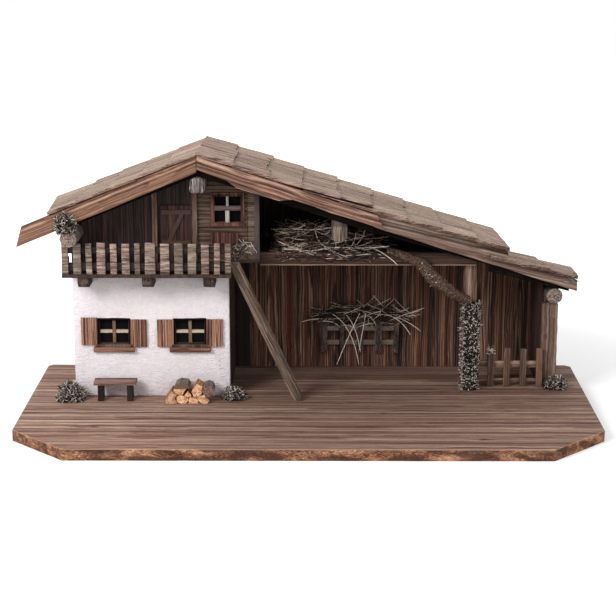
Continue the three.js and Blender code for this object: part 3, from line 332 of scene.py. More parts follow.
# a painted shadow darkens the middle beam's top below the barge board; the ridge beam, left of x 0, keeps its
# colour
greyBeam = upright(
    "grey_beam_wood", "322822 605247 8c7c6e", stretch=0.08, fibre=0.4, relief=0.7, check=0.6,
    paint=lambda f, below: f.mix(f.span(f.z, 303.0, 309.0) * f.span(f.x, 0.0, 1.0) * 0.7, below, tint("1e1613")))
carvedWood = upright(
    "carved_wood", "1e1817 564a46 8c807c b8aeac", stretch=0.04, fibre=0.42, streak=0.35, relief=0.9, check=0.9,
    checkScale=0.22)
fenceWood = upright(
    "fence_wood", "2e211c 5c483c 867060", toned=True, stretch=0.015, spread=0.6, relief=0.5, check=0.8,
    other="623a2a")
fenceRail = wood("fence_rail_wood", "3a2820 725a4a 9c826e", toned=True, check=0.8)
ladderWood = upright("ladder_wood", "40322a 786456 a08c7c", tilt=-27.5, stretch=0.012, relief=0.5, check=0.7)
rackWood = upright("rack_wood", "241c1a 483a35 70625a", fibre=0.5, check=0.6, paint=paleSlats)
benchTopWood = wood("bench_top_wood", "3e2a28 785a52 a2847a", stretch=0.012, check=0.8)
benchLegWood = upright("bench_leg_wood", "181110 2e221f 42342f")


def bargeWood(name, shades, tilt, stain, stainShare, check, skew=0.0):
    return wood(name, shades, tilt=tilt, stretch=0.003, fibre=0.34, streak=0.12, stain=stain, stainShare=stainShare,
                relief=0.6, check=check, checkScale=0.17, skew=skew)


bargeLeft = bargeWood("barge_left_wood", "52362c 86624e ac866e ccac96", -22.0, "744a38", 0.6, 0.8)
bargeRight = bargeWood("barge_right_wood", "301d19 68493d 906c5b b89884", 18.2, "68382e", 0.6, 0.9)
bargeRear = bargeWood("barge_rear_wood", "40302a 766054 988274 b8a494", 16.4, "6a4a3e", 0.5, 0.9, 0.28)


def crossWood(name, middle):
    # a brown upright before a chipped pale bar; the frame round them is dark
    def paint(f, below):
        aside, above = abs(f.x - middle[0]), abs(f.z - middle[1])
        bar = abs(f.z - middle[1] - 0.6) + f.cloud(f.place, 0.4, 3.0) * 4.4
        chips = f.ramp(f.cloud(f.place, 0.35, 3.0, 0.7), evenStops("605042 beac98 e2d4c4"))
        color = f.mix(f.span(bar, 5.2, 4.4) * f.span(aside, 3.0, 3.6), below, chips)
        return f.mix(f.span(f.maths("MAXIMUM", aside - 22.4, above - 18.4), -0.4, 0.4), color, tint("34241f"))
    return upright(name, "4c3628 765842 96765e", roughness=0.6, paint=paint)


def shingleWood(name, tilt):
    return wood(name, "503a33 907669 b8a092 d8c6ba", tilt=tilt, toned=True, stretch=0.004, fibre=0.46, streak=0.14,
                spread=0.34, stain="aa8272", stainShare=0.45, relief=0.5, roughness=0.85, check=1.0,
                checkScale=0.24, other="b2a08a")


shingleLeft = shingleWood("shingle_wood_left", -22.0)
shingleRight = shingleWood("shingle_wood_right", 18.2)
shingleLow = shingleWood("shingle_wood_low", 15.4)
# the shingles' butts and sides are painted dark, painted shade under each course's edge
shingleButtShade = wood("shingle_butt_shade", "1e1411 402e28 6e564c", stretch=0.03, relief=0.6)
shingleFront = wood("shingle_front", "422e28 806458 b29688", stretch=0.01, fibre=0.5, relief=0.6)


def plasterFinish():
    # trowelled lime with pits, damp at its foot
    f = Finish("rough_plaster", 0.92, 0.2)
    coarse = f.cloud(f.place, 0.16, 3.0, 0.6)
    fine = f.cloud(f.place, 0.7, 4.0, 0.7)
    trowel = f.cloud(f.vector(f.x * 0.6, f.y, f.z * 1.2), 0.3, 3.0, 0.6, 0.8)
    color = f.ramp(f.span(coarse * 0.3 + fine * 0.7, 0.3, 0.7), evenStops("e4dade f3ebef fcf7fa"))
    pits = f.node("ShaderNodeTexVoronoi", {"feature": "F1"}, {"Vector": f.place, "Scale": 0.085}, "Distance")
    pit = f.span(pits + fine * 0.12, 0.13, 0.085)
    color = f.mix(pit * 0.55, color, tint("786c6c"))
    damp = f.span(f.z + coarse * 26, 44.0, 18.0) * 0.28
    color = f.mix(damp, color, tint("a89892"))
    f.colour(color)
    f.relief(coarse * 0.4 + fine * 0.6 + trowel * 1.1 - pit * 0.8, 0.9, 0.0023)
    return f


def barkFinish(name, shades):
    f = Finish(name, 0.95, 0.15)
    ridges = f.cloud(f.place, 0.35, 5.0, 0.7, 1.2)
    crack = f.node("ShaderNodeTexVoronoi", {"feature": "DISTANCE_TO_EDGE"}, {"Vector": f.place, "Scale": 0.23},
                   "Distance")
    groove = f.span(crack, 0.0, 0.16)
    color = f.ramp(f.span(ridges, 0.3, 0.7), evenStops(shades))
    f.colour(f.shade(color, groove * 0.45 + 0.6))
    f.relief(ridges * 0.6 + groove * 0.7, 0.9, 0.0012)
    return f


def endGrainFinish(name, centre, shades):
    # rings round a log's middle, seen on its cut end; centre is x and z
    f = Finish(name, 0.85, 0.2)
    wobble = f.cloud(f.place, 0.12, 3.0)
    far = f.maths("SQRT", (f.x - centre[0]) ** 2 + (f.z - centre[1]) ** 2) + wobble * 5
    arcs = f.maths("SINE", far * 3.14)
    fine = f.cloud(f.place, 0.42, 4.0, 0.7)
    f.colour(f.ramp(f.span(arcs * 0.08 + fine, 0.36, 0.66), evenStops(shades)))
    f.relief(fine * 0.8 + arcs * 0.2, 0.6)
    return f


def splitFinish(name, shades, paint=None):
    return wood(name, shades, along="y", toned=True, fibre=0.6, stretch=0.05, spread=0.5, relief=0.5, check=0.5,
                paint=paint)


def plainFinish(name, dark, light, roughness=0.9, scale=0.6, relief=0.4):
    # straw, lichen and other small stuff: a mottled colour
    f = Finish(name, roughness, 0.2)
    spots = f.cloud(f.place, scale, 4.0, 0.7)
    f.colour(f.mix(f.span(spots, 0.3, 0.7), tint(dark), tint(light)))
    f.relief(spots, relief)
    return f


plaster = plasterFinish()
barkDark = barkFinish("bark_dark", "261b18 58443a 8a7262")
barkGrey = barkFinish("bark_grey", "362e2b 786a62 b4a69c")
splitEnd = splitFinish("split_end", "8e5638 ce946e e8b892 f4d4b6", barkRim)
splitSide = splitFinish("split_side", "5c3824 9e6c46 c6986c")
# black without shine: painted shade for the dark inside behind each window and at the top and sides of its opening
windowShadeFinish = plainFinish("window_shade_black", "020202", "060606", 1.0, 0.05, 0.05)
strawFinishes = [
    plainFinish("straw_light", "d8c4b2", "f6e8da"),
    plainFinish("straw_middle", "9a8272", "c4ac9a"),
    plainFinish("straw_brown", "58443a", "82685c"),
    plainFinish("straw_dark", "18110e", "2e221c"),
]
lichenFinishes = [
    plainFinish("lichen_pale", "ccc2b8", "f4eee4"),
    plainFinish("lichen_grey", "7c7269", "aca296"),
    plainFinish("lichen_brown", "4a3c34", "7a6658"),
    plainFinish("lichen_dark", "120f0e", "2c2522"),
]
# painted shade for the inside of the heaps, the bushes and the lichen sleeve
coreShadeFinish = plainFinish("core_shade_dark", "100d0c", "28211e", 1.0, 0.3)
twigFinish = plainFinish("twig_bark", "302620", "605044")
ironFinish = plainFinish("door_pull_iron", "181616", "302c2a", 0.5)
print("finishes made:", len(bpy.data.materials))

mm = 0.001


def piece(name, shape, finishes, nodes=(), tones=None, smooth=40):
    scaleBy(shape, mm, mm, mm)
    bmesh.ops.recalc_face_normals(shape, faces=shape.faces)
    mesh = bpy.data.meshes.new(name)
    shape.to_mesh(mesh)
    shape.free()
    finished(name, mesh, finishes, nodes, tones, smooth)


def finished(name, mesh, finishes, nodes, tones, smooth):
    thing = bpy.data.objects.new(name, mesh)
    bpy.context.collection.objects.link(thing)
    if not mesh.materials:
        for finish in finishes if isinstance(finishes, list) else [finishes]:
            mesh.materials.append(finish.material)
    if tones:
        mesh.attributes.new("tone", "FLOAT", "FACE").data.foreach_set("value", tones)
    mesh.polygons.foreach_set("use_smooth", [bool(smooth)] * len(mesh.polygons))
    if smooth:
        mesh.set_sharp_from_angle(angle=math.radians(smooth))
    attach(thing, "root")
    if nodes:
        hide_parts(*nodes)


def cadShape(node):
    shape = bmesh.new()
    shape.from_mesh(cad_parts[node].data)
    scaleBy(shape, 1000, 1000, 1000)
    bmesh.ops.remove_doubles(shape, verts=shape.verts, dist=0.02)
    bmesh.ops.dissolve_limit(shape, angle_limit=math.radians(2), verts=shape.verts, edges=shape.edges)
    return shape


def scaleBy(shape, *vec):
    bmesh.ops.scale(shape, vec=vec, verts=shape.verts)


def moveBy(shape, *vec):
    bmesh.ops.translate(shape, vec=vec, verts=shape.verts)


def roundEdges(shape, width, segments=2, above=30):
    sharp = [e for e in shape.edges if len(e.link_faces) == 2 and e.calc_face_angle(0) > math.radians(above)]
    bmesh.ops.bevel(shape, geom=sharp, offset=width, offset_type="OFFSET", affect="EDGES", segments=segments,
                    profile=0.5, material=-1, clamp_overlap=True)


def slices(shape, axis, step):
    # cuts a shape across every few millimetres, so that it can be made uneven
    index = "xyz".index(axis)
    places = [v.co[index] for v in shape.verts]
    at = min(places) + step
    while at < max(places) - 0.3 * step:
        point, normal = Vector((0, 0, 0)), Vector((0, 0, 0))
        point[index], normal[index] = at, 1
        everything = shape.verts[:] + shape.edges[:] + shape.faces[:]
        bmesh.ops.bisect_plane(shape, geom=everything, plane_co=point, plane_no=normal)
        at += step


def uneven(shape, amount, size, seed=0.0):
    for v in shape.verts:
        v.co += noise.noise_vector(v.co / size + Vector((seed, 7.3, 2.1 * seed))) * amount


def dress(node, finishes, width=0.6, cut=None, amount=0.3, size=30.0, pick=None, form=None):
    # the solid of a node with rounded edges and a worn surface, in place of the node
    shape = cadShape(node)
    if width:
        roundEdges(shape, width)
    if cut:
        slices(shape, *cut)
    if form:
        form(shape)
    if amount:
        uneven(shape, amount, size, len(node))
    if pick:
        shape.normal_update()
        for face in shape.faces:
            face.material_index = pick(face)
    piece("dressed_" + node, shape, finishes, [node])


def coat(node, finish):
    # a new finish on the solid itself
    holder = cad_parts[node]
    for entry in holder.material_slots:
        entry.material = finish.material
    if not holder.material_slots:
        holder.data.materials.append(finish.material)


class Pile:
    # many small shapes in one mesh, each with its own tone
    def __init__(self, seed):
        self.shape = bmesh.new()
        self.tones = []
        self.rand = random.Random(seed)

    def add(self, part):
        mesh = bpy.data.meshes.new("part")
        part.to_mesh(mesh)
        part.free()
        self.shape.from_mesh(mesh)
        self.tones += [self.rand.random()] * len(mesh.polygons)
        bpy.data.meshes.remove(mesh)

    def block(self, x0, x1, y0, y1, z0, z1, width=0.5, cuts=3, amount=0.25, lean=0.0, index=0):
        part = bmesh.new()
        bmesh.ops.create_cube(part, size=1)
        scaleBy(part, x1 - x0, y1 - y0, z1 - z0)
        if width:
            roundEdges(part, width)
        longest = max((x1 - x0, "x"), (y1 - y0, "y"), (z1 - z0, "z"))
        if cuts:
            slices(part, longest[1], longest[0] / (cuts + 1))
        for v in part.verts:
            v.co.x += lean * v.co.z
        moveBy(part, (x0 + x1) / 2, (y0 + y1) / 2, (z0 + z1) / 2)
        uneven(part, amount, 17.0, self.rand.random() * 50)
        for face in part.faces:
            face.material_index = index
        self.add(part)

    def done(self, name, finishes, nodes=(), smooth=40):
        piece(name, self.shape, finishes, nodes, self.tones, smooth)


def tubes(name, lines, radius, finishes=(), sides=0):
    # a mesh of thin tubes; lines holds (points, radii, finish number)
    curve = bpy.data.curves.new(name, "CURVE")
    curve.dimensions = "3D"
    curve.bevel_depth = radius * mm
    curve.bevel_resolution = sides
    curve.use_fill_caps = True
    for finish in finishes:
        curve.materials.append(finish.material)
    for points, radii, number in lines:
        spline = curve.splines.new("POLY")
        spline.points.add(len(points) - 1)
        for point, place, thick in zip(spline.points, points, radii):
            point.co = (place[0] * mm, place[1] * mm, place[2] * mm, 1)
            point.radius = thick
        spline.material_index = number
    holder = bpy.data.objects.new(name + "_lines", curve)
    bpy.context.collection.objects.link(holder)
    bpy.context.view_layer.update()
    mesh = bpy.data.meshes.new_from_object(holder.evaluated_get(bpy.context.evaluated_depsgraph_get()))
    bpy.data.objects.remove(holder)
    bpy.data.curves.remove(curve)
    return mesh


def strands(name, lines, radius, finishes, nodes=()):
    mesh = tubes(name, lines, radius, finishes)
    numbers = [p.material_index for p in mesh.polygons]
    mesh.name = name
    finished(name, mesh, finishes, nodes, None, 60)
    mesh.polygons.foreach_set("material_index", numbers)


def cylinder(radius, length):
    # a round bar that stands on the z axis
    shape = bmesh.new()
    bmesh.ops.create_cone(shape, cap_ends=True, segments=28, radius1=radius, radius2=radius, depth=length)
    return shape


def darkCore(name, middle, half, subdivisions, wear, low, high):
    # the dark inside of a heap or bush, which nothing shows through, painted near black as the shade within it
    shape = bmesh.new()
    bmesh.ops.create_icosphere(shape, subdivisions=subdivisions, radius=1)
    scaleBy(shape, *half)
    moveBy(shape, *middle)
    uneven(shape, *wear)
    for v in shape.verts:
        for k in range(3):
            v.co[k] = min(max(v.co[k], low[k]), high[k])
    piece(name + "_core", shape, coreShadeFinish)


def boardPick(face):
    return 0 if abs(face.normal.z) > 0.6 else 1


dress("base_board", [boardTop, boardEdge], 1.0, ("x", 18.0), 0.35, 26.0, boardPick)
print("board done")

# sizes of the ground floor's windows, from each one's middle; depths and heights are the board's
windows = {
    "middles": {"left": -312.5, "right": -190.5}, "height": 125.5,
    "sill": (30, (35.5, 40.6, 100.6, 105.4)),
    "head": (26.5, (39.0, 40.8, 145.2, 148.3)),
    "jamb": (25.6, 1.6, (39.0, 40.8, 104.0, 147.0)),
    "shadeSheets": {
        "window_left": (-338.0, -287.0, 47.3, 48.1, 104.1, 146.9),
        "window_right": (-216.0, -165.0, 47.3, 48.1, 104.1, 146.9),
        "attic_window": (-154.0, -102.0, 50.3, 51.1, 299.0, 351.0),
    },
}

dress("house_wall_front", plaster, 1.2, amount=0)
dress("house_wall_left", plaster, 0.8, amount=0)
coat("house_wall_right", plainDark)
for side, middle in windows["middles"].items():
    cross = crossWood("cross_wood_" + side, (middle, windows["height"]))
    dress("window_" + side, cross, 0.5, amount=0.15)
    dress("window_sill_" + side, sillWood, 0.5, ("x", 9.0), 0.35, 9.0)
    for letter in "ab":
        coat("shutter_" + side + "_" + letter, shutterWood)


def windowLips():
    # the gap under each cross is filled, and its opening is black at the top and the sides, painted shade in its
    # reveal
    lips = Pile(6)
    for middle in windows["middles"].values():
        half, sizes = windows["sill"]
        lips.block(middle - half, middle + half, *sizes, 0.4, 7, 0.4)
        half, sizes = windows["head"]
        lips.block(middle - half, middle + half, *sizes, 0.2, 11, 0.9, index=1)
        away, half, sizes = windows["jamb"]
        for side in (-1, 1):
            at = middle + side * away
            lips.block(at - half, at + half, *sizes, 0.2, 7, 0.3, index=1)
    lips.done("window_lips", [jambWood, windowShadeFinish])


windowLips()
# a black sheet behind each window's cross, painted shade for the dark inside of the house
for node, sizes in windows["shadeSheets"].items():
    sheet = Pile(3)
    sheet.block(*sizes, width=0.1, cuts=0, amount=0)
    sheet.done("shade_sheet_" + node, windowShadeFinish)
print("ground floor done")

coat("upper_floor", plainDark)
coat("gable_wall", darkWood)
coat("log_wall", logTan)
dress("attic_window", frameWood, 0.6, amount=0.2, size=12.0)
coat("flower_box", redWood)
coat("balcony_door", doorWood)
atticBars = {
    "across": (-149.0, -107.0, 40.4, 45.0, 323.4, 331.0),
    "upright": [(-131.6, -125.0, 40.2, 44.0, 304.4, 323.6), (-130.2, -126.2, 40.2, 44.0, 330.8, 346.0)],
}
bars = Pile(4)
bars.block(*atticBars["across"], 0.5, 4, 0.3)
for sizes in atticBars["upright"]:
    bars.block(*sizes, 0.4, 2, 0.2, index=1)
bars.done("attic_window_bars", [barWood, paleBar])
for side in ("left", "right"):
    dress("door_post_" + side, jambWood, 0.5, ("z", 14.0), 0.3, 16.0)
    coat("upper_wall_" + side, plainDark)
dress("corner_post", cornerWood, 0.8, ("z", 14.0), 0.4, 18.0)
for i in (1, 2, 3):
    dress("balcony_beam_%d" % i, [plainDark, beamFront], 1.0, ("y", 6.0), 0.6, 8.0,
          lambda face: 1 if face.normal.y < -0.5 else 0)

railing = {
    "widths": [10, 12, 9, 13, 10, 12, 8, 16, 14, 13, 13, 12, 9, 9], "uneven": (-1.4, 0.3),
    "from": -384.7, "to": -121.3, "front": -8.0, "bottom": 231.0, "top": 281.0, "thick": 4.0,
    "rails": [(236, 249), (264, 274)], "back": 44.4,
}


def balconyRailing():
    r = railing
    pile = Pile(11)
    gap = (r["to"] - r["from"] - sum(r["widths"])) / (len(r["widths"]) - 1)
    x = r["from"]
    for width in r["widths"]:
        pile.rand.random()  # keeps the draws that follow in their order
        top = r["top"] + pile.rand.uniform(*r["uneven"])
        pile.block(x, x + width, r["front"], r["front"] + r["thick"], r["bottom"] + 0.2, top, 0.5, 5, 0.5,
                   lean=pile.rand.uniform(-0.01, 0.01))
        x += width + gap
    y0 = r["front"] + r["thick"] - 0.5
    # the rails behind the slats are painted near black, painted shade in the gaps
    for low, high in r["rails"]:
        pile.block(r["from"], r["to"], y0, y0 + 4.5, low, high, 0.5, 12, 0.3, index=1)
        pile.block(r["from"], r["from"] + 4, y0 + 4, r["back"], low, high, 0.4, 3, 0.2, index=1)
    pile.done("balcony_slats", [railWood, railShadeWood], ["balcony_railing"])


balconyRailing()
print("upper storey done")

roof = {
    "ridgeX": -172.0, "ridgeTop": 418.0, "front": -4.0, "back": 229.0, "fall": 0.042,
    "leftPitch": 22.0, "rightPitch": 18.199, "leftRun": 231.0, "rightEnd": 319.0,
    "lowPitch": 15.4, "lowFall": 0.11, "lowStart": 288.0, "lowEnd": 434.0, "lowDrop": 18.0,
    "straightTo": 101.0, "skewFrom": 107.0, "skew": 0.28,
}
thickShingles = {"lap": 10.0, "butt": 2.5, "head": 0.5, "rise": 1.83, "seat": 0.3}
thinShingles = {"lap": 10.0, "butt": 2.2, "head": 0.4, "rise": 0.85, "seat": 0.3}
shingleChance = {
    "joint": (-0.2, 0.2), "tip": (-3.5, 3.5), "front": (-2.5, 1.5), "bow": (-0.3, 0.9), "twist": (-0.7, 0.7),
    "ragged": 1.6, "gap": 0.004,
}


def skewLine(x):
    return roof["front"] + 0.3 + roof["skew"] * (x - roof["skewFrom"])


def roofEdge(x):
    return roof["front"] if x <= roof["straightTo"] else skewLine(x)


def mainRoof(x, y, up):
    pitch = math.radians(roof["leftPitch"] if x <= roof["ridgeX"] else roof["rightPitch"])
    fall = roof["fall"] * (y - roof["front"])
    return roof["ridgeTop"] - abs(x - roof["ridgeX"]) * math.tan(pitch) - fall + up / math.cos(pitch)


def lowRoof(x, y, up):
    pitch = math.radians(roof["lowPitch"])
    corner = roof["rightEnd"] - 1
    start = mainRoof(corner, skewLine(corner), 0) - roof["lowDrop"]
    fall = roof["lowFall"] * (y - skewLine(corner))
    return start - (x - corner) * math.tan(pitch) - fall + up / math.cos(pitch)


def shinglePick(face):
    # tops, butts and sides painted dark as shade, front edges
    if abs(face.normal.z) > 0.6:
        return 0
    return 2 if abs(face.normal.y) > 0.6 else 1


def shingles(name, s, surface, start, end, courses, slant, finish, seed, node, curl=None):
    # courses from start to end, each shingle a warped slab; curl lifts the front one at a place by so much
    pile = Pile(seed)
    step = (end - start) / courses

    def draw(key):
        return pile.rand.uniform(*shingleChance[key])

    for k in range(courses + 2):
        butt = start + (k + 1) * step
        across = 3 + k % 2
        near = 0.0
        for i in range(across):
            far = 1.0 if i == across - 1 else (i + 1 + draw("joint")) / across
            last = k >= courses - 1
            tip = end if last else butt + draw("tip")
            head = start if k < 2 else butt - 3 * step
            front = draw("front") if i == 0 else 0.0
            bow, twist = draw("bow"), draw("twist")
            lift = curl if curl and i == 0 and abs(butt - curl[0]) < abs(step) * 0.5 else None
            part = bmesh.new()
            bmesh.ops.create_cube(part, size=1)
            moveBy(part, 0.5, 0.5, 0.5)
            slices(part, "x", 0.2)
            slices(part, "y", 0.17)
            phase = pile.rand.random() * 40
            for v in part.verts:
                u, w, h = v.co.y, v.co.x, v.co.z
                ragged = noise.noise(Vector((u * 7, phase, h * 0.4))) * shingleChance["ragged"] * w
                x = lerp(head, tip, w) + ragged * math.copysign(1, step) * (0 if last else 1)
                side = noise.noise(Vector((w * 5, phase + 9, h * 0.4)))
                y0 = roofEdge(x) - s["lap"] + front
                share = lerp(near, far, u)
                y = lerp(y0, roof["back"], share) + side * (1 if 0 < u < 1 or i == 0 else 0.4)
                if last:
                    x += slant * share
                rise = max(0.0, (butt - x + (slant * share if last else 0)) / step)
                under = s["seat"] + s["rise"] * (3 - min(rise, 3.0))
                thick = lerp(s["butt"], s["head"], min(rise, 3.0) / 3)
                warp = (bow * (2 * u - 1) ** 2 + twist * (2 * u - 1)) * w
                if lift:
                    warp += lift[1] * max(0.0, 1 - 2.2 * u) ** 2 * w
                v.co = Vector((x, y, surface(x, y, under + h * thick + max(0.0, warp) * 0.8)))
            part.normal_update()
            for face in part.faces:
                face.material_index = shinglePick(face)
            pile.add(part)
            near = far + shingleChance["gap"]
    pile.done(name, [finish, shingleButtShade, shingleFront], [node], smooth=30)


shingles("shingle_cover_left", thinShingles, mainRoof, roof["ridgeX"] - 0.2, roof["ridgeX"] - roof["leftRun"], 5,
         -24.0, shingleLeft, 3, "shingles_left")
shingles("shingle_cover_right", thickShingles, mainRoof, roof["ridgeX"] + 0.2, roof["rightEnd"], 9, -8.0,
         shingleRight, 5, "shingles_right", (100.0, 5.0))
shingles("shingle_cover_lean_to", thickShingles, lowRoof, roof["lowStart"], roof["lowEnd"], 3, 13.0, shingleLow, 8,
         "shingles_lean_to")


def underRoofShade(pitch):
    # painted shade that darkens what hangs below the deck
    def paint(f, below):
        run = abs(f.x - roof["ridgeX"]) * math.tan(math.radians(pitch))
        drop = roof["ridgeTop"] - run - (f.y - roof["front"]) * roof["fall"] - f.z
        return f.mix(f.span(drop, 5.0, 9.0) * 0.97, below, tint("050404"))
    return paint


decks = {
    "left": ("281b16 543c32 785c4e", underRoofShade(22.0)),
    "right": ("281b16 543c32 785c4e", underRoofShade(18.2)),
    # the lean-to's deck is near black all over, painted shade under its roof
    "lean_to": ("080605 120d0b 1e1613", None),
}
for side, (shades, paint) in decks.items():
    finish = wood("deck_wood_" + side, shades, relief=0.5, check=0.6, paint=paint)
    # boards painted dark for shade would shine blue when seen at a low angle
    finish.shader.inputs["Specular IOR Level"].default_value = 0.04
    coat("roof_deck_" + side, finish)
dress("barge_board_left", bargeLeft, 0.8, ("x", 16.0), 0.7, 34.0)

lowerEdge = {"below": 12, "rise": 9.0, "from": -150, "run": 240}


def narrower(shape):
    # the lower edge of the right barge board rises to its end
    for v in shape.verts:
        if v.co.z < mainRoof(v.co.x, v.co.y, 0) - lowerEdge["below"]:
            share = (v.co.x - lowerEdge["from"]) / lowerEdge["run"]
            v.co.z += lowerEdge["rise"] * min(1.0, max(0.0, share))


dress("barge_board_right", bargeRight, 0.8, ("x", 16.0), 0.7, 34.0, form=narrower)
dress("barge_board_rear", bargeRear, 0.8, ("x", 16.0), 0.7, 34.0)

carving = {"run": 10, "pitch": 1.05, "depth": 1.6, "neckTop": 386.0, "neckRun": 18, "neck": 0.6}


def ridgeBeam():
    shape = cadShape("ridge_beam")
    roundEdges(shape, 3.0, 3)
    slices(shape, "x", 1.5)
    slices(shape, "y", 8.0)
    for v in shape.verts:
        if v.co.y < 0:
            # flutes cut down the end, deeper to the front
            depth = min(1.0, (0 - v.co.y) / carving["run"])
            v.co.y += abs(math.sin(v.co.x * carving["pitch"])) * carving["depth"] * depth
            neck = min(1.0, max(0.0, (carving["neckTop"] - v.co.z) / carving["neckRun"]))
            width = lerp(1.0, lerp(carving["neck"], 1.0, neck), depth)
            v.co.x = roof["ridgeX"] + (v.co.x - roof["ridgeX"]) * width
    uneven(shape, 0.5, 6.0, 3)
    shape.normal_update()
    for face in shape.faces:
        face.material_index = 1 if face.calc_center_median().y < 1.0 else 0
    piece("carved_ridge_beam", shape, [greyBeam, carvedWood], ["ridge_beam"])


ridgeBeam()
dress("middle_beam", greyBeam, 1.2, ("y", 9.0), 0.7, 9.0)

eaveLogs = {
    "eave_log_left": {"x": -370.0, "radius": 13.8, "front": -28.0, "fall": 0.042},
    "eave_log_right": {"x": 400.0, "radius": 13.4, "front": 90.0, "fall": 0.11},
}


def eaveLog(node):
    log = eaveLogs[node]
    radius = log["radius"]
    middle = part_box(node)[1][2] * 1000 - radius
    length = roof["back"] - log["front"]
    shape = cylinder(radius, length)
    bmesh.ops.rotate(shape, verts=shape.verts, matrix=Matrix.Rotation(math.pi / 2, 3, "X"))
    moveBy(shape, 0, length / 2, 0)
    roundEdges(shape, 1.5, 2, 60)
    slices(shape, "y", 9.0)
    uneven(shape, 0.9, 9.0, 4)
    for v in shape.verts:
        y = v.co.y + log["front"]
        height = middle - log["fall"] * (y - log["front"])
        v.co = Vector((v.co.x * 0.97 + log["x"], y, v.co.z * 0.97 + height))
    shape.normal_update()
    for face in shape.faces:
        atFront = face.calc_center_median().y < log["front"] + 4
        face.material_index = 1 if face.normal.y < -0.7 and atFront else 0
    grain = endGrainFinish(node + "_end", (log["x"], middle), "322622 7a685f ac9a90")
    piece("round_" + node, shape, [barkGrey, grain], [node])


for node in eaveLogs:
    eaveLog(node)
print("roof done")

coat("back_wall", backWood)
coat("lean_to_wall", barnSideWood)
coat("loft_floor", plainDark)
dress("loft_beam", beamWood, 0.8, ("x", 18.0), 0.6, 20.0)

squarePost = {"middle": 260.4, "solidMiddle": 257.0, "wider": 1.14}


def stouter(shape):
    # the square post is a little wider than its solid, and further right
    for v in shape.verts:
        v.co.x = squarePost["middle"] + (v.co.x - squarePost["solidMiddle"]) * squarePost["wider"]


dress("square_post", postWood, 0.9, ("z", 14.0), 0.5, 18.0, form=stouter)
dress("lean_to_post", leanPostWood, 1.4, ("z", 12.0), 0.9, 16.0)
dress("ladder", ladderWood, 0.5, ("z", 12.0), 0.4, 14.0)
dress("hay_rack", rackWood, 0.4, ("z", 9.0), 0.4, 10.0)

fence = {"left": 278.0, "right": 385.0, "front": 92.0, "back": 101.0, "rails": [(26.0, 31.0), (50.0, 61.0)],
         "pickets": [379.0, 352.5, 326.0, 299.5], "top": 83.5, "width": 10.0}


def picketFence():
    pile = Pile(21)
    for i, x in enumerate(fence["pickets"]):
        half = fence["width"] / 2
        top = fence["top"] - (8 if i == 3 else i % 2)
        pile.block(x - half, x + half, fence["front"], fence["front"] + 5, 18.3, top, 0.8, 5, 0.7,
                   lean=pile.rand.uniform(-0.03, 0.03))
    for sizes in fence["rails"]:
        pile.block(fence["left"], fence["right"], fence["front"] + 4.5, fence["back"], *sizes, 0.7, 8, 0.7, index=1)
    pile.done("picket_fence_slats", [fenceWood, fenceRail], ["picket_fence"])


picketFence()


def wanderLine(start, heading, length, bend, parts, rand, sag=0.0):
    # a line that turns a little at each step
    points = [Vector(start)]
    direction = Vector(heading).normalized()
    turn = Vector((rand.uniform(-1, 1), rand.uniform(-1, 1), rand.uniform(-1, 1))) * bend
    for k in range(parts):
        direction = (direction + turn + Vector((0, 0, -sag))).normalized()
        points.append(points[-1] + direction * (length / parts))
    return points


def strawHeap(name, seed, count, heap, flat, nodes, hanging=(), core=0.8, thin=1.0):
    # stalks round an egg shaped heap, none of them outside its box, and some single ones that hang out
    rand = random.Random(seed)
    middle, half, (low, high) = heaps[heap]
    lines = []
    while len(lines) < count:
        a, c = rand.uniform(0, 2 * math.pi), rand.uniform(-1, 1)
        r = math.sqrt(1 - c * c)
        shell = rand.uniform(*stalks["shell"])
        place = Vector((middle[0] + half[0] * r * math.cos(a) * shell,
                        middle[1] + half[1] * r * math.sin(a) * shell, middle[2] + half[2] * c * shell))
        heading = Vector((rand.choice((-1, 1)) * rand.uniform(0.4, 1), rand.gauss(0, 0.35), rand.gauss(0, flat)))
        length = rand.uniform(*stalks["length"])
        start = place - heading.normalized() * length / 2
        points = wanderLine(start, heading, length, rand.uniform(0.04, 0.3), 6, rand)
        if not all(low[k] < p[k] < high[k] for p in points for k in range(3)):
            continue
        # stalks deeper in the heap mostly take the dark finish, painted shade inside it
        number = rand.choice((0, 0, 1, 2, 3, 3, 3) if shell > stalks["outer"] else (2, 3, 3, 3, 3))
        thick = rand.uniform(0.6, 1.2) * thin
        lines.append((points, [thick * 0.7, thick, thick, thick, thick, thick * 0.8, thick * 0.4], number))
    for start, heading, length, sag in hanging:
        points = wanderLine(start, heading, length, 0.05, 9, rand, sag)
        lines.append((points, [1.0] * 9 + [0.5], 0))
    strands(name, lines, stalks["radius"], strawFinishes, nodes)
    darkCore(name, middle, [h * core for h in half], 4, (2.5, 9.0, seed), [k + 0.5 for k in low],
             [k - 0.5 for k in high])


# how far out from a heap's middle, and how long
stalks = {"shell": (0.72, 1.03), "outer": 0.875, "length": (16, 74), "radius": 0.52}
# middle, half sizes and the box that the stalks stay in
heaps = {
    "left": ((-2, 104, 254), (52, 38, 34), ((-64, 56, 243), (124, 190, 294))),
    "right": ((62, 104, 249), (56, 38, 29), ((-64, 56, 243), (150, 190, 288))),
    "fringe": ((34, 66, 247), (92, 6, 12), ((-66, 54, 234), (140, 76, 262))),
    "rack": ((90, 197, 112), (86, 9, 16), ((-8, 170, 88), (192, 210, 146))),
}
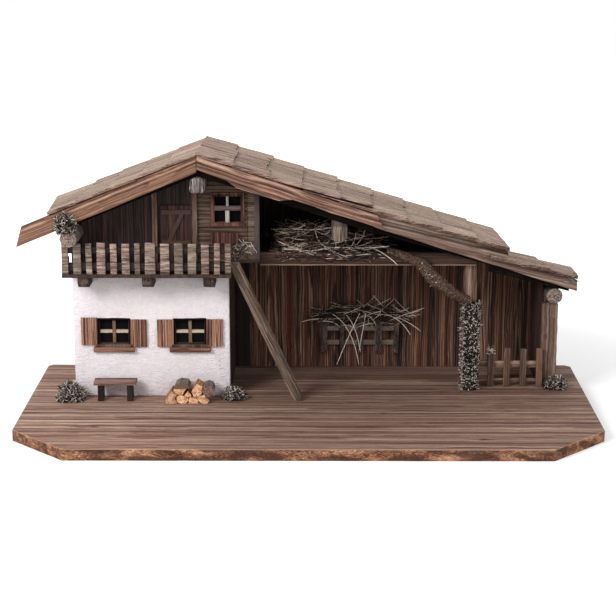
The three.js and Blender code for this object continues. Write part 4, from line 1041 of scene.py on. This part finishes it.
# start, heading, length and sag of the single stalks
loftHanging = [((60, 66, 258), (1, -0.25, 0.02), 74, 0.0), ((96, 60, 262), (1, -0.2, -0.35), 58, 0.06)]
rackHanging = [
    ((40, 190, 116), (0.9, -0.3, -0.3), 100, 0.22), ((86, 188, 118), (-0.5, -0.3, -0.9), 96, 0.06),
    ((62, 189, 116), (0.6, -0.3, -0.4), 70, 0.3), ((30, 189, 108), (-1, -0.1, 0.1), 46, 0.05),
    ((150, 189, 112), (1, -0.1, 0.3), 50, -0.03), ((140, 189, 112), (1, -0.1, -0.1), 56, 0.08),
    ((120, 189, 116), (1, -0.1, 0.2), 66, 0.12), ((96, 188, 118), (-0.2, -0.3, -1), 64, 0.02),
]

strawHeap("loft_straw_left", 31, 1150, "left", 0.17, ["loft_hay"], core=0.86)
strawHeap("loft_straw_right", 32, 1100, "right", 0.14, [], loftHanging, 0.86)
strawHeap("loft_straw_fringe", 34, 420, "fringe", 0.14, [], core=0.5)
strawHeap("rack_straw", 33, 430, "rack", 0.26, ["rack_hay"], rackHanging, 0.85, 0.8)
print("barn done")


def twigs(rand, base, outward, length, number, thick=1.0):
    heading = outward + Vector((rand.uniform(-1, 1), rand.uniform(-1, 1), rand.uniform(-0.6, 0.9))) * 0.9
    points = wanderLine(base, heading, length, 0.35, 3, rand)
    return points, [thick * 0.8, thick, thick * 1.25, thick * 0.7], number


# the board's top, and the lowest that cores and twigs on it may come
ground = {"top": 18, "core": 18.3, "twig": 18.4, "tuft": 18.6}
# middle, half sizes, number of twigs and how often each of the lichen's finishes comes
bushes = {
    "lichen_house_left": ((-382, 16, 18), (25, 19, 34), 1700, (0, 0, 1, 2, 2, 3, 3, 3)),
    "lichen_house_right": ((-120, 22, 18), (20, 13, 23), 1200, (0, 0, 2, 2, 3, 3, 3, 3)),
    "lichen_lean_to_post": ((406, 83, 18), (20, 13, 25), 1200, (0, 1, 2, 3, 3, 3)),
    "lichen_eave_log": ((-374, -26, 313), (18, 9, 20), 1000, (0, 1, 2, 2, 3, 3, 3)),
    "lichen_balcony": ((-110, 0, 264), (9, 10, 13), 420, (1, 2, 2, 3, 3)),
}


def bush(node):
    middle, half, count, mix = bushes[node]
    rand = random.Random(len(node) * 7)
    onBoard = middle[2] == ground["top"]
    lines = []
    for _ in range(count):
        a = rand.uniform(0, 2 * math.pi)
        c = rand.uniform(0.02 if onBoard else -0.8, 1)
        r = math.sqrt(1 - c * c)
        outward = Vector((r * math.cos(a), r * math.sin(a), c))
        lumpy = 0.74 + 0.3 * noise.noise(outward * 2.6 + Vector((len(node), 0, 0)))
        base = Vector([m + h * o * lumpy for m, h, o in zip(middle, half, outward)])
        number = rand.choice(mix)
        line = twigs(rand, base, outward * 0.7, rand.uniform(3.0, 8.0), number, rand.uniform(0.6, 1.2))
        if all(p.z > ground["twig"] for p in line[0]):
            lines.append(line)
    strands(node + "_tufts", lines, 0.42, lichenFinishes, [node])
    low = (-999, -999, ground["core"] if onBoard else -999)
    darkCore(node, middle, [h * 0.66 for h in half], 3, (2.0, 7.0, 2), low, (999, 999, 999))


for node in bushes:
    bush(node)

sleeve = {
    "x": 262.6, "y": 83.0, "bottom": ground["core"], "top": 168.0, "radius": 12.7, "count": 4300,
    # height, side and number of the longer twigs
    "tufts": ((118, -1, 16), (150, 1, 20), (120, 1, 8), (26, -1, 18), (26, 1, 8)),
}


def lichenSleeve():
    rand = random.Random(5)
    lines = []
    for _ in range(sleeve["count"]):
        a, z = rand.uniform(0, 2 * math.pi), rand.uniform(sleeve["bottom"] + 1, sleeve["top"] - 1)
        outward = Vector((math.cos(a), math.sin(a), 0))
        wide = sleeve["radius"] * (1 + 0.12 * abs(math.sin(2 * a)))
        base = Vector((sleeve["x"], sleeve["y"], z)) + outward * (wide + rand.uniform(-1, 1))
        patch = noise.noise(Vector((a * 2.2, z * 0.06, 0)))
        number = rand.choice((0, 0, 1, 2, 3, 3, 3) if patch > -0.12 else (0, 2, 3, 3, 3))
        line = twigs(rand, base, outward * 0.35, rand.uniform(2.4, 5.0), number, rand.uniform(0.7, 1.3))
        if all(p.z > ground["twig"] for p in line[0]):
            lines.append(line)
    for z, side, count in sleeve["tufts"]:
        for _ in range(count):
            base = Vector((sleeve["x"] + side * 12, sleeve["y"] - rand.uniform(0, 8), z + rand.gauss(0, 6)))
            heading = Vector((side * 1.2, -0.4, 0.1))
            line = twigs(rand, base, heading, rand.uniform(5, 10), rand.choice((0, 1, 2)), 0.6)
            if all(p.z > ground["tuft"] for p in line[0]):
                lines.append(line)
    strands("lichen_sleeve_tufts", lines, 0.42, lichenFinishes, ["lichen_on_post"])
    depth = sleeve["top"] - sleeve["bottom"]
    shape = cylinder(sleeve["radius"], depth)
    slices(shape, "z", 5.0)
    moveBy(shape, sleeve["x"], sleeve["y"], sleeve["bottom"] + depth / 2)
    for v in shape.verts:
        out = Vector((v.co.x - sleeve["x"], v.co.y - sleeve["y"], 0))
        v.co += out * 0.12 * abs(math.sin(2 * math.atan2(out.y, out.x)))
    uneven(shape, 0.8, 6.0, 1)
    for v in shape.verts:
        v.co.z = min(max(v.co.z, sleeve["bottom"]), sleeve["top"])
    piece("lichen_sleeve_core", shape, coreShadeFinish)


lichenSleeve()

# path holds, for each bend, how far right of the post, how high over the sleeve and how thick it is
limb = {
    "post": 257, "foot": 168, "front": 61.7, "footFront": 63.0, "parts": 41,
    "path": [(-1, 5, 7.5), (-20, 14, 8.5), (-40, 30, 10), (-60, 46, 11.5), (-76, 66, 10), (-98, 77, 8),
             (-132, 88, 5.5)],
    # how many twigs stand on its front, and tufts of lichen round the bend at a point
    "twigs": 70, "tufts": 120, "tuftsAt": 24,
}


def alongPath(path, share):
    # a smooth curve through the bends
    k = min(int(share), len(path) - 2)
    t = share - k
    before, after = path[max(k - 1, 0)], path[min(k + 2, len(path) - 1)]
    return [0.5 * (2 * p1 + (p2 - p0) * t + (2 * p0 - 5 * p1 + 4 * p2 - p3) * t * t
                   + (3 * p1 - p0 - 3 * p2 + p3) * t ** 3)
            for p0, p1, p2, p3 in zip(before, path[k], path[k + 1], after)]


def barkLimb():
    points, radii = [], []
    for i in range(limb["parts"]):
        aside, up, thick = alongPath(limb["path"], i / (limb["parts"] - 1) * (len(limb["path"]) - 1))
        front = limb["front"] - thick
        if i < 8:
            front = lerp(limb["footFront"], front, i / 8)
        points.append((limb["post"] + aside, front, limb["foot"] + max(up, 3)))
        radii.append(thick * (1 + 0.07 * math.sin(i * 1.9)))
    mesh = tubes("bark_limb", [(points, radii, 0)], 1.0, sides=6)
    shape = bmesh.new()
    shape.from_mesh(mesh)
    scaleBy(shape, 1000, 1000, 1000)
    bmesh.ops.remove_doubles(shape, verts=shape.verts, dist=0.05)
    uneven(shape, 1.3, 5.0, 8)
    for v in shape.verts:
        v.co.z = max(v.co.z, 168.3)
    piece("bark_limb", shape, barkDark, ["branch"])
    rand = random.Random(17)
    lines = []
    for _ in range(limb["twigs"]):
        i = rand.randrange(6, 40)
        base = Vector(points[i]) + Vector((0, -radii[i] * 0.6, rand.uniform(-0.8, 0.6) * radii[i]))
        lines.append(twigs(rand, base, Vector((0, -0.8, rand.uniform(-1, 0.6))), rand.uniform(5, 11), 0, 0.6))
    for _ in range(limb["tufts"]):
        i = min(40, max(0, int(rand.gauss(limb["tuftsAt"], 2.2))))
        angle = rand.uniform(-2.6, 0.4)
        outward = Vector((0, -abs(math.cos(angle)), math.sin(angle)))
        base = Vector(points[i]) + outward * radii[i] * 0.95
        lines.append(twigs(rand, base, outward, rand.uniform(2.5, 6.0), rand.choice((1, 2, 3, 3)), 0.8))
    strands("limb_twigs", lines, 0.55, [twigFinish] + lichenFinishes[:3])


barkLimb()
print("lichen and bark done")

benchUnderside = 44.6


def benchPick(face):
    return 1 if face.calc_center_median().z < benchUnderside else 0


dress("bench", [benchTopWood, benchLegWood], 0.5, ("x", 9.0), 0.35, 12.0, benchPick)

logs = {
    "left": -229.0, "front": -3.0, "length": 30.0, "bottom": 18.0,
    "faces": [
        [(0, 0), (18.5, 0), (18.5, 5), (15, 8), (19, 15), (11, 22), (0.5, 6.5)],
        [(18, 2), (26, 0), (33, 0), (37.8, 5.5), (35.5, 11), (24, 14), (18, 11)],
        [(37.5, 0), (53, 0), (53, 10.5), (39, 10.5), (37, 5.5)],
        [(51, 13), (54, 4), (60, 0), (67, 0), (71, 5), (63, 14.5)],
        [(13, 20.5), (18, 15), (27, 12.6), (33, 24), (40, 26), (36, 33), (25, 34.5), (17, 31)],
        [(28.5, 10), (41.5, 10), (41.5, 14.5), (36, 20.5)],
        [(42.5, 20), (46.5, 9.8), (58, 16), (60.5, 28), (51, 34)],
        [(78.8, 20.5), (76, 13), (68.5, 10.2), (61, 13), (58.2, 20.5), (61, 28), (68.5, 30.8), (76, 28)],
    ],
    "barked": {4, 7}, "greyEnd": 7,
}
logGreyEnd = endGrainFinish("log_grey_end", (-160.5, 38.5), "403028 766052 9e8674")


def splitLogs():
    pile = Pile(41)
    for i, outline in enumerate(logs["faces"]):
        part = bmesh.new()
        front = logs["front"] + (i % 3) * 1.5
        corners = [part.verts.new((logs["left"] + x, front, logs["bottom"] + z)) for x, z in outline]
        face = part.faces.new(corners)
        grown = bmesh.ops.extrude_face_region(part, geom=[face])
        moved = [g for g in grown["geom"] if isinstance(g, bmesh.types.BMVert)]
        bmesh.ops.translate(part, vec=(0, logs["length"], 0), verts=moved)
        bmesh.ops.recalc_face_normals(part, faces=part.faces)
        roundEdges(part, 0.35, 1)
        slices(part, "y", 6.0)
        uneven(part, 0.15, 9.0, i)
        part.normal_update()
        for f in part.faces:
            atEnd = abs(f.normal.y) > 0.7
            f.material_index = (3 if i == logs["greyEnd"] else 0) if atEnd else 2 if i in logs["barked"] else 1
        pile.add(part)
    pile.done("log_pile_split", [splitEnd, splitSide, barkGrey, logGreyEnd], ["log_pile"], smooth=12)


splitLogs()

pot = {"twigs": 26, "room": ((-104, -84), (18, 34), (258, 276)), "length": (8, 15)}


def balconyTwigs():
    # bare twigs in the flower pot at the balcony's end
    rand = random.Random(81)
    lines = []
    for _ in range(pot["twigs"]):
        base = Vector([rand.uniform(*room) for room in pot["room"]])
        outward = Vector((rand.choice((-1, 1)), -0.1, rand.uniform(-0.2, 0.6)))
        lines.append(twigs(rand, base, outward, rand.uniform(*pot["length"]), rand.choice((0, 0, 1)), 0.5))
    strands("balcony_twigs", lines, 0.5, [lichenFinishes[0], twigFinish])


balconyTwigs()

frayed = {"splinters": 26, "eave": 427, "hairs": 46, "picket": (299.5, 91, 80)}


def splinters():
    # frayed wood at the lean-to's eave and a tuft on the first picket
    rand = random.Random(77)
    lines = []
    for _ in range(frayed["splinters"]):
        x = frayed["eave"] + rand.uniform(0, 4)
        y = skewLine(x) - 7 + rand.uniform(-2, 14)
        z = lowRoof(x, y, rand.uniform(0.5, 7))
        lines.append(twigs(rand, Vector((x - 8, y, z + 2)), Vector((2.4, -0.2, -0.8)), rand.uniform(9, 16),
                           rand.choice((0, 1, 2)), rand.uniform(0.8, 1.6)))
    px, py, pz = frayed["picket"]
    for _ in range(frayed["hairs"]):
        base = Vector((px + rand.gauss(0, 2.8), py - rand.uniform(0, 2), pz + rand.gauss(0, 3.5)))
        lines.append(twigs(rand, base, Vector((0, -0.2, 0.3)), rand.uniform(3, 8), rand.choice((1, 2, 3, 3)), 0.6))
    grey = plainFinish("splinter_grey", "706862", "a89e96")
    strands("frayed_splinters", lines, 0.5, [grey, lichenFinishes[1], twigFinish, lichenFinishes[0]])


splinters()

doorPull = {"radius": 1.3, "place": (-229.5, 39.4, 283)}
pull = bmesh.new()
bmesh.ops.create_icosphere(pull, subdivisions=2, radius=doorPull["radius"])
moveBy(pull, *doorPull["place"])
piece("door_pull", pull, ironFinish)

studio = {
    "floor": 6.0, "fade": (500.0, 1500.0, 0.3, 1.0), "lens": 93.5, "sensor": 36,
    "eye": (0.010, -2.436, 0.802), "pitch": 14.42, "yaw": 0.26,
    # place, aim, width and height, watts
    "lights": {
        "key_light": ((-1.8, -1.9, 1.8), (-0.05, 0, 0.15), (1.2, 1.1), 74),
        "fill_light": ((1.7, -1.9, 1.3), (0, 0, 0.15), (1.6, 1.2), 15),
        "top_light": ((0.2, 0.9, 2.4), (0, 0, 0.2), (2.2, 1.6), 12),
    },
}


def studioFloor():
    mesh = bpy.data.meshes.new("floor")
    shape = bmesh.new()
    bmesh.ops.create_grid(shape, x_segments=1, y_segments=1, size=studio["floor"])
    shape.to_mesh(mesh)
    shape.free()
    floor = bpy.data.objects.new("floor", mesh)
    bpy.context.collection.objects.link(floor)
    # it glows to the camera alone, more the further away, so that it ends in white
    f = Finish("pale_floor", 0.9, 0.0)
    f.shader.inputs["Base Color"].default_value = (0.8, 0.8, 0.8, 1)
    camera, glossy, through = [
        f.node("ShaderNodeLightPath", output="Is %s Ray" % kind) for kind in ("Camera", "Glossy", "Transmission")]
    seen = f.maths("MINIMUM", camera + glossy + through, 1.0)
    away = f.maths("SQRT", f.x ** 2 + f.y ** 2)
    glow = f.node("ShaderNodeEmission", inputs={"Strength": 1.0})
    light = seen * f.span(away, *studio["fade"])
    f.tree.links.new(f.vector(light, light, light).socket, glow.socket.node.inputs["Color"])
    lit = f.node("ShaderNodeAddShader", inputs={0: Wire(f, f.shader.outputs[0]), 1: glow})
    f.tree.links.new(lit.socket, f.tree.nodes["Material Output"].inputs["Surface"])
    mesh.materials.append(f.material)


def studioWorld():
    world = bpy.data.worlds.new("studio")
    bpy.context.scene.world = world
    world.use_nodes = True
    tree = world.node_tree
    background = tree.nodes["Background"]
    path = tree.nodes.new("ShaderNodeLightPath")
    total = tree.nodes.new("ShaderNodeMath")
    total.operation = "MAXIMUM"
    tree.links.new(path.outputs["Is Camera Ray"], total.inputs[0])
    tree.links.new(path.outputs["Is Glossy Ray"], total.inputs[1])
    span = tree.nodes.new("ShaderNodeMapRange")
    span.inputs["To Min"].default_value = 0.5
    span.inputs["To Max"].default_value = 1.0
    tree.links.new(total.outputs[0], span.inputs["Value"])
    background.inputs["Color"].default_value = (1, 1, 1, 1)
    tree.links.new(span.outputs[0], background.inputs["Strength"])


def softbox(name, place, aim, size, watts):
    light = bpy.data.lights.new(name, "AREA")
    light.shape = "RECTANGLE"
    light.size, light.size_y = size
    light.energy = watts
    holder = bpy.data.objects.new(name, light)
    holder.location = place
    holder.rotation_euler = (Vector(aim) - Vector(place)).to_track_quat("-Z", "Y").to_euler()
    bpy.context.collection.objects.link(holder)


studioFloor()
studioWorld()
for name, values in studio["lights"].items():
    softbox(name, *values)

lens = bpy.data.cameras.new("camera")
lens.lens = studio["lens"]
lens.sensor_width = studio["sensor"]
camera = bpy.data.objects.new("camera", lens)
camera.location = studio["eye"]
camera.rotation_euler = (math.radians(90 - studio["pitch"]), 0, math.radians(studio["yaw"]))
bpy.context.collection.objects.link(camera)
bpy.context.scene.camera = camera
bpy.context.scene.view_settings.view_transform = "Standard"
print("studio done")
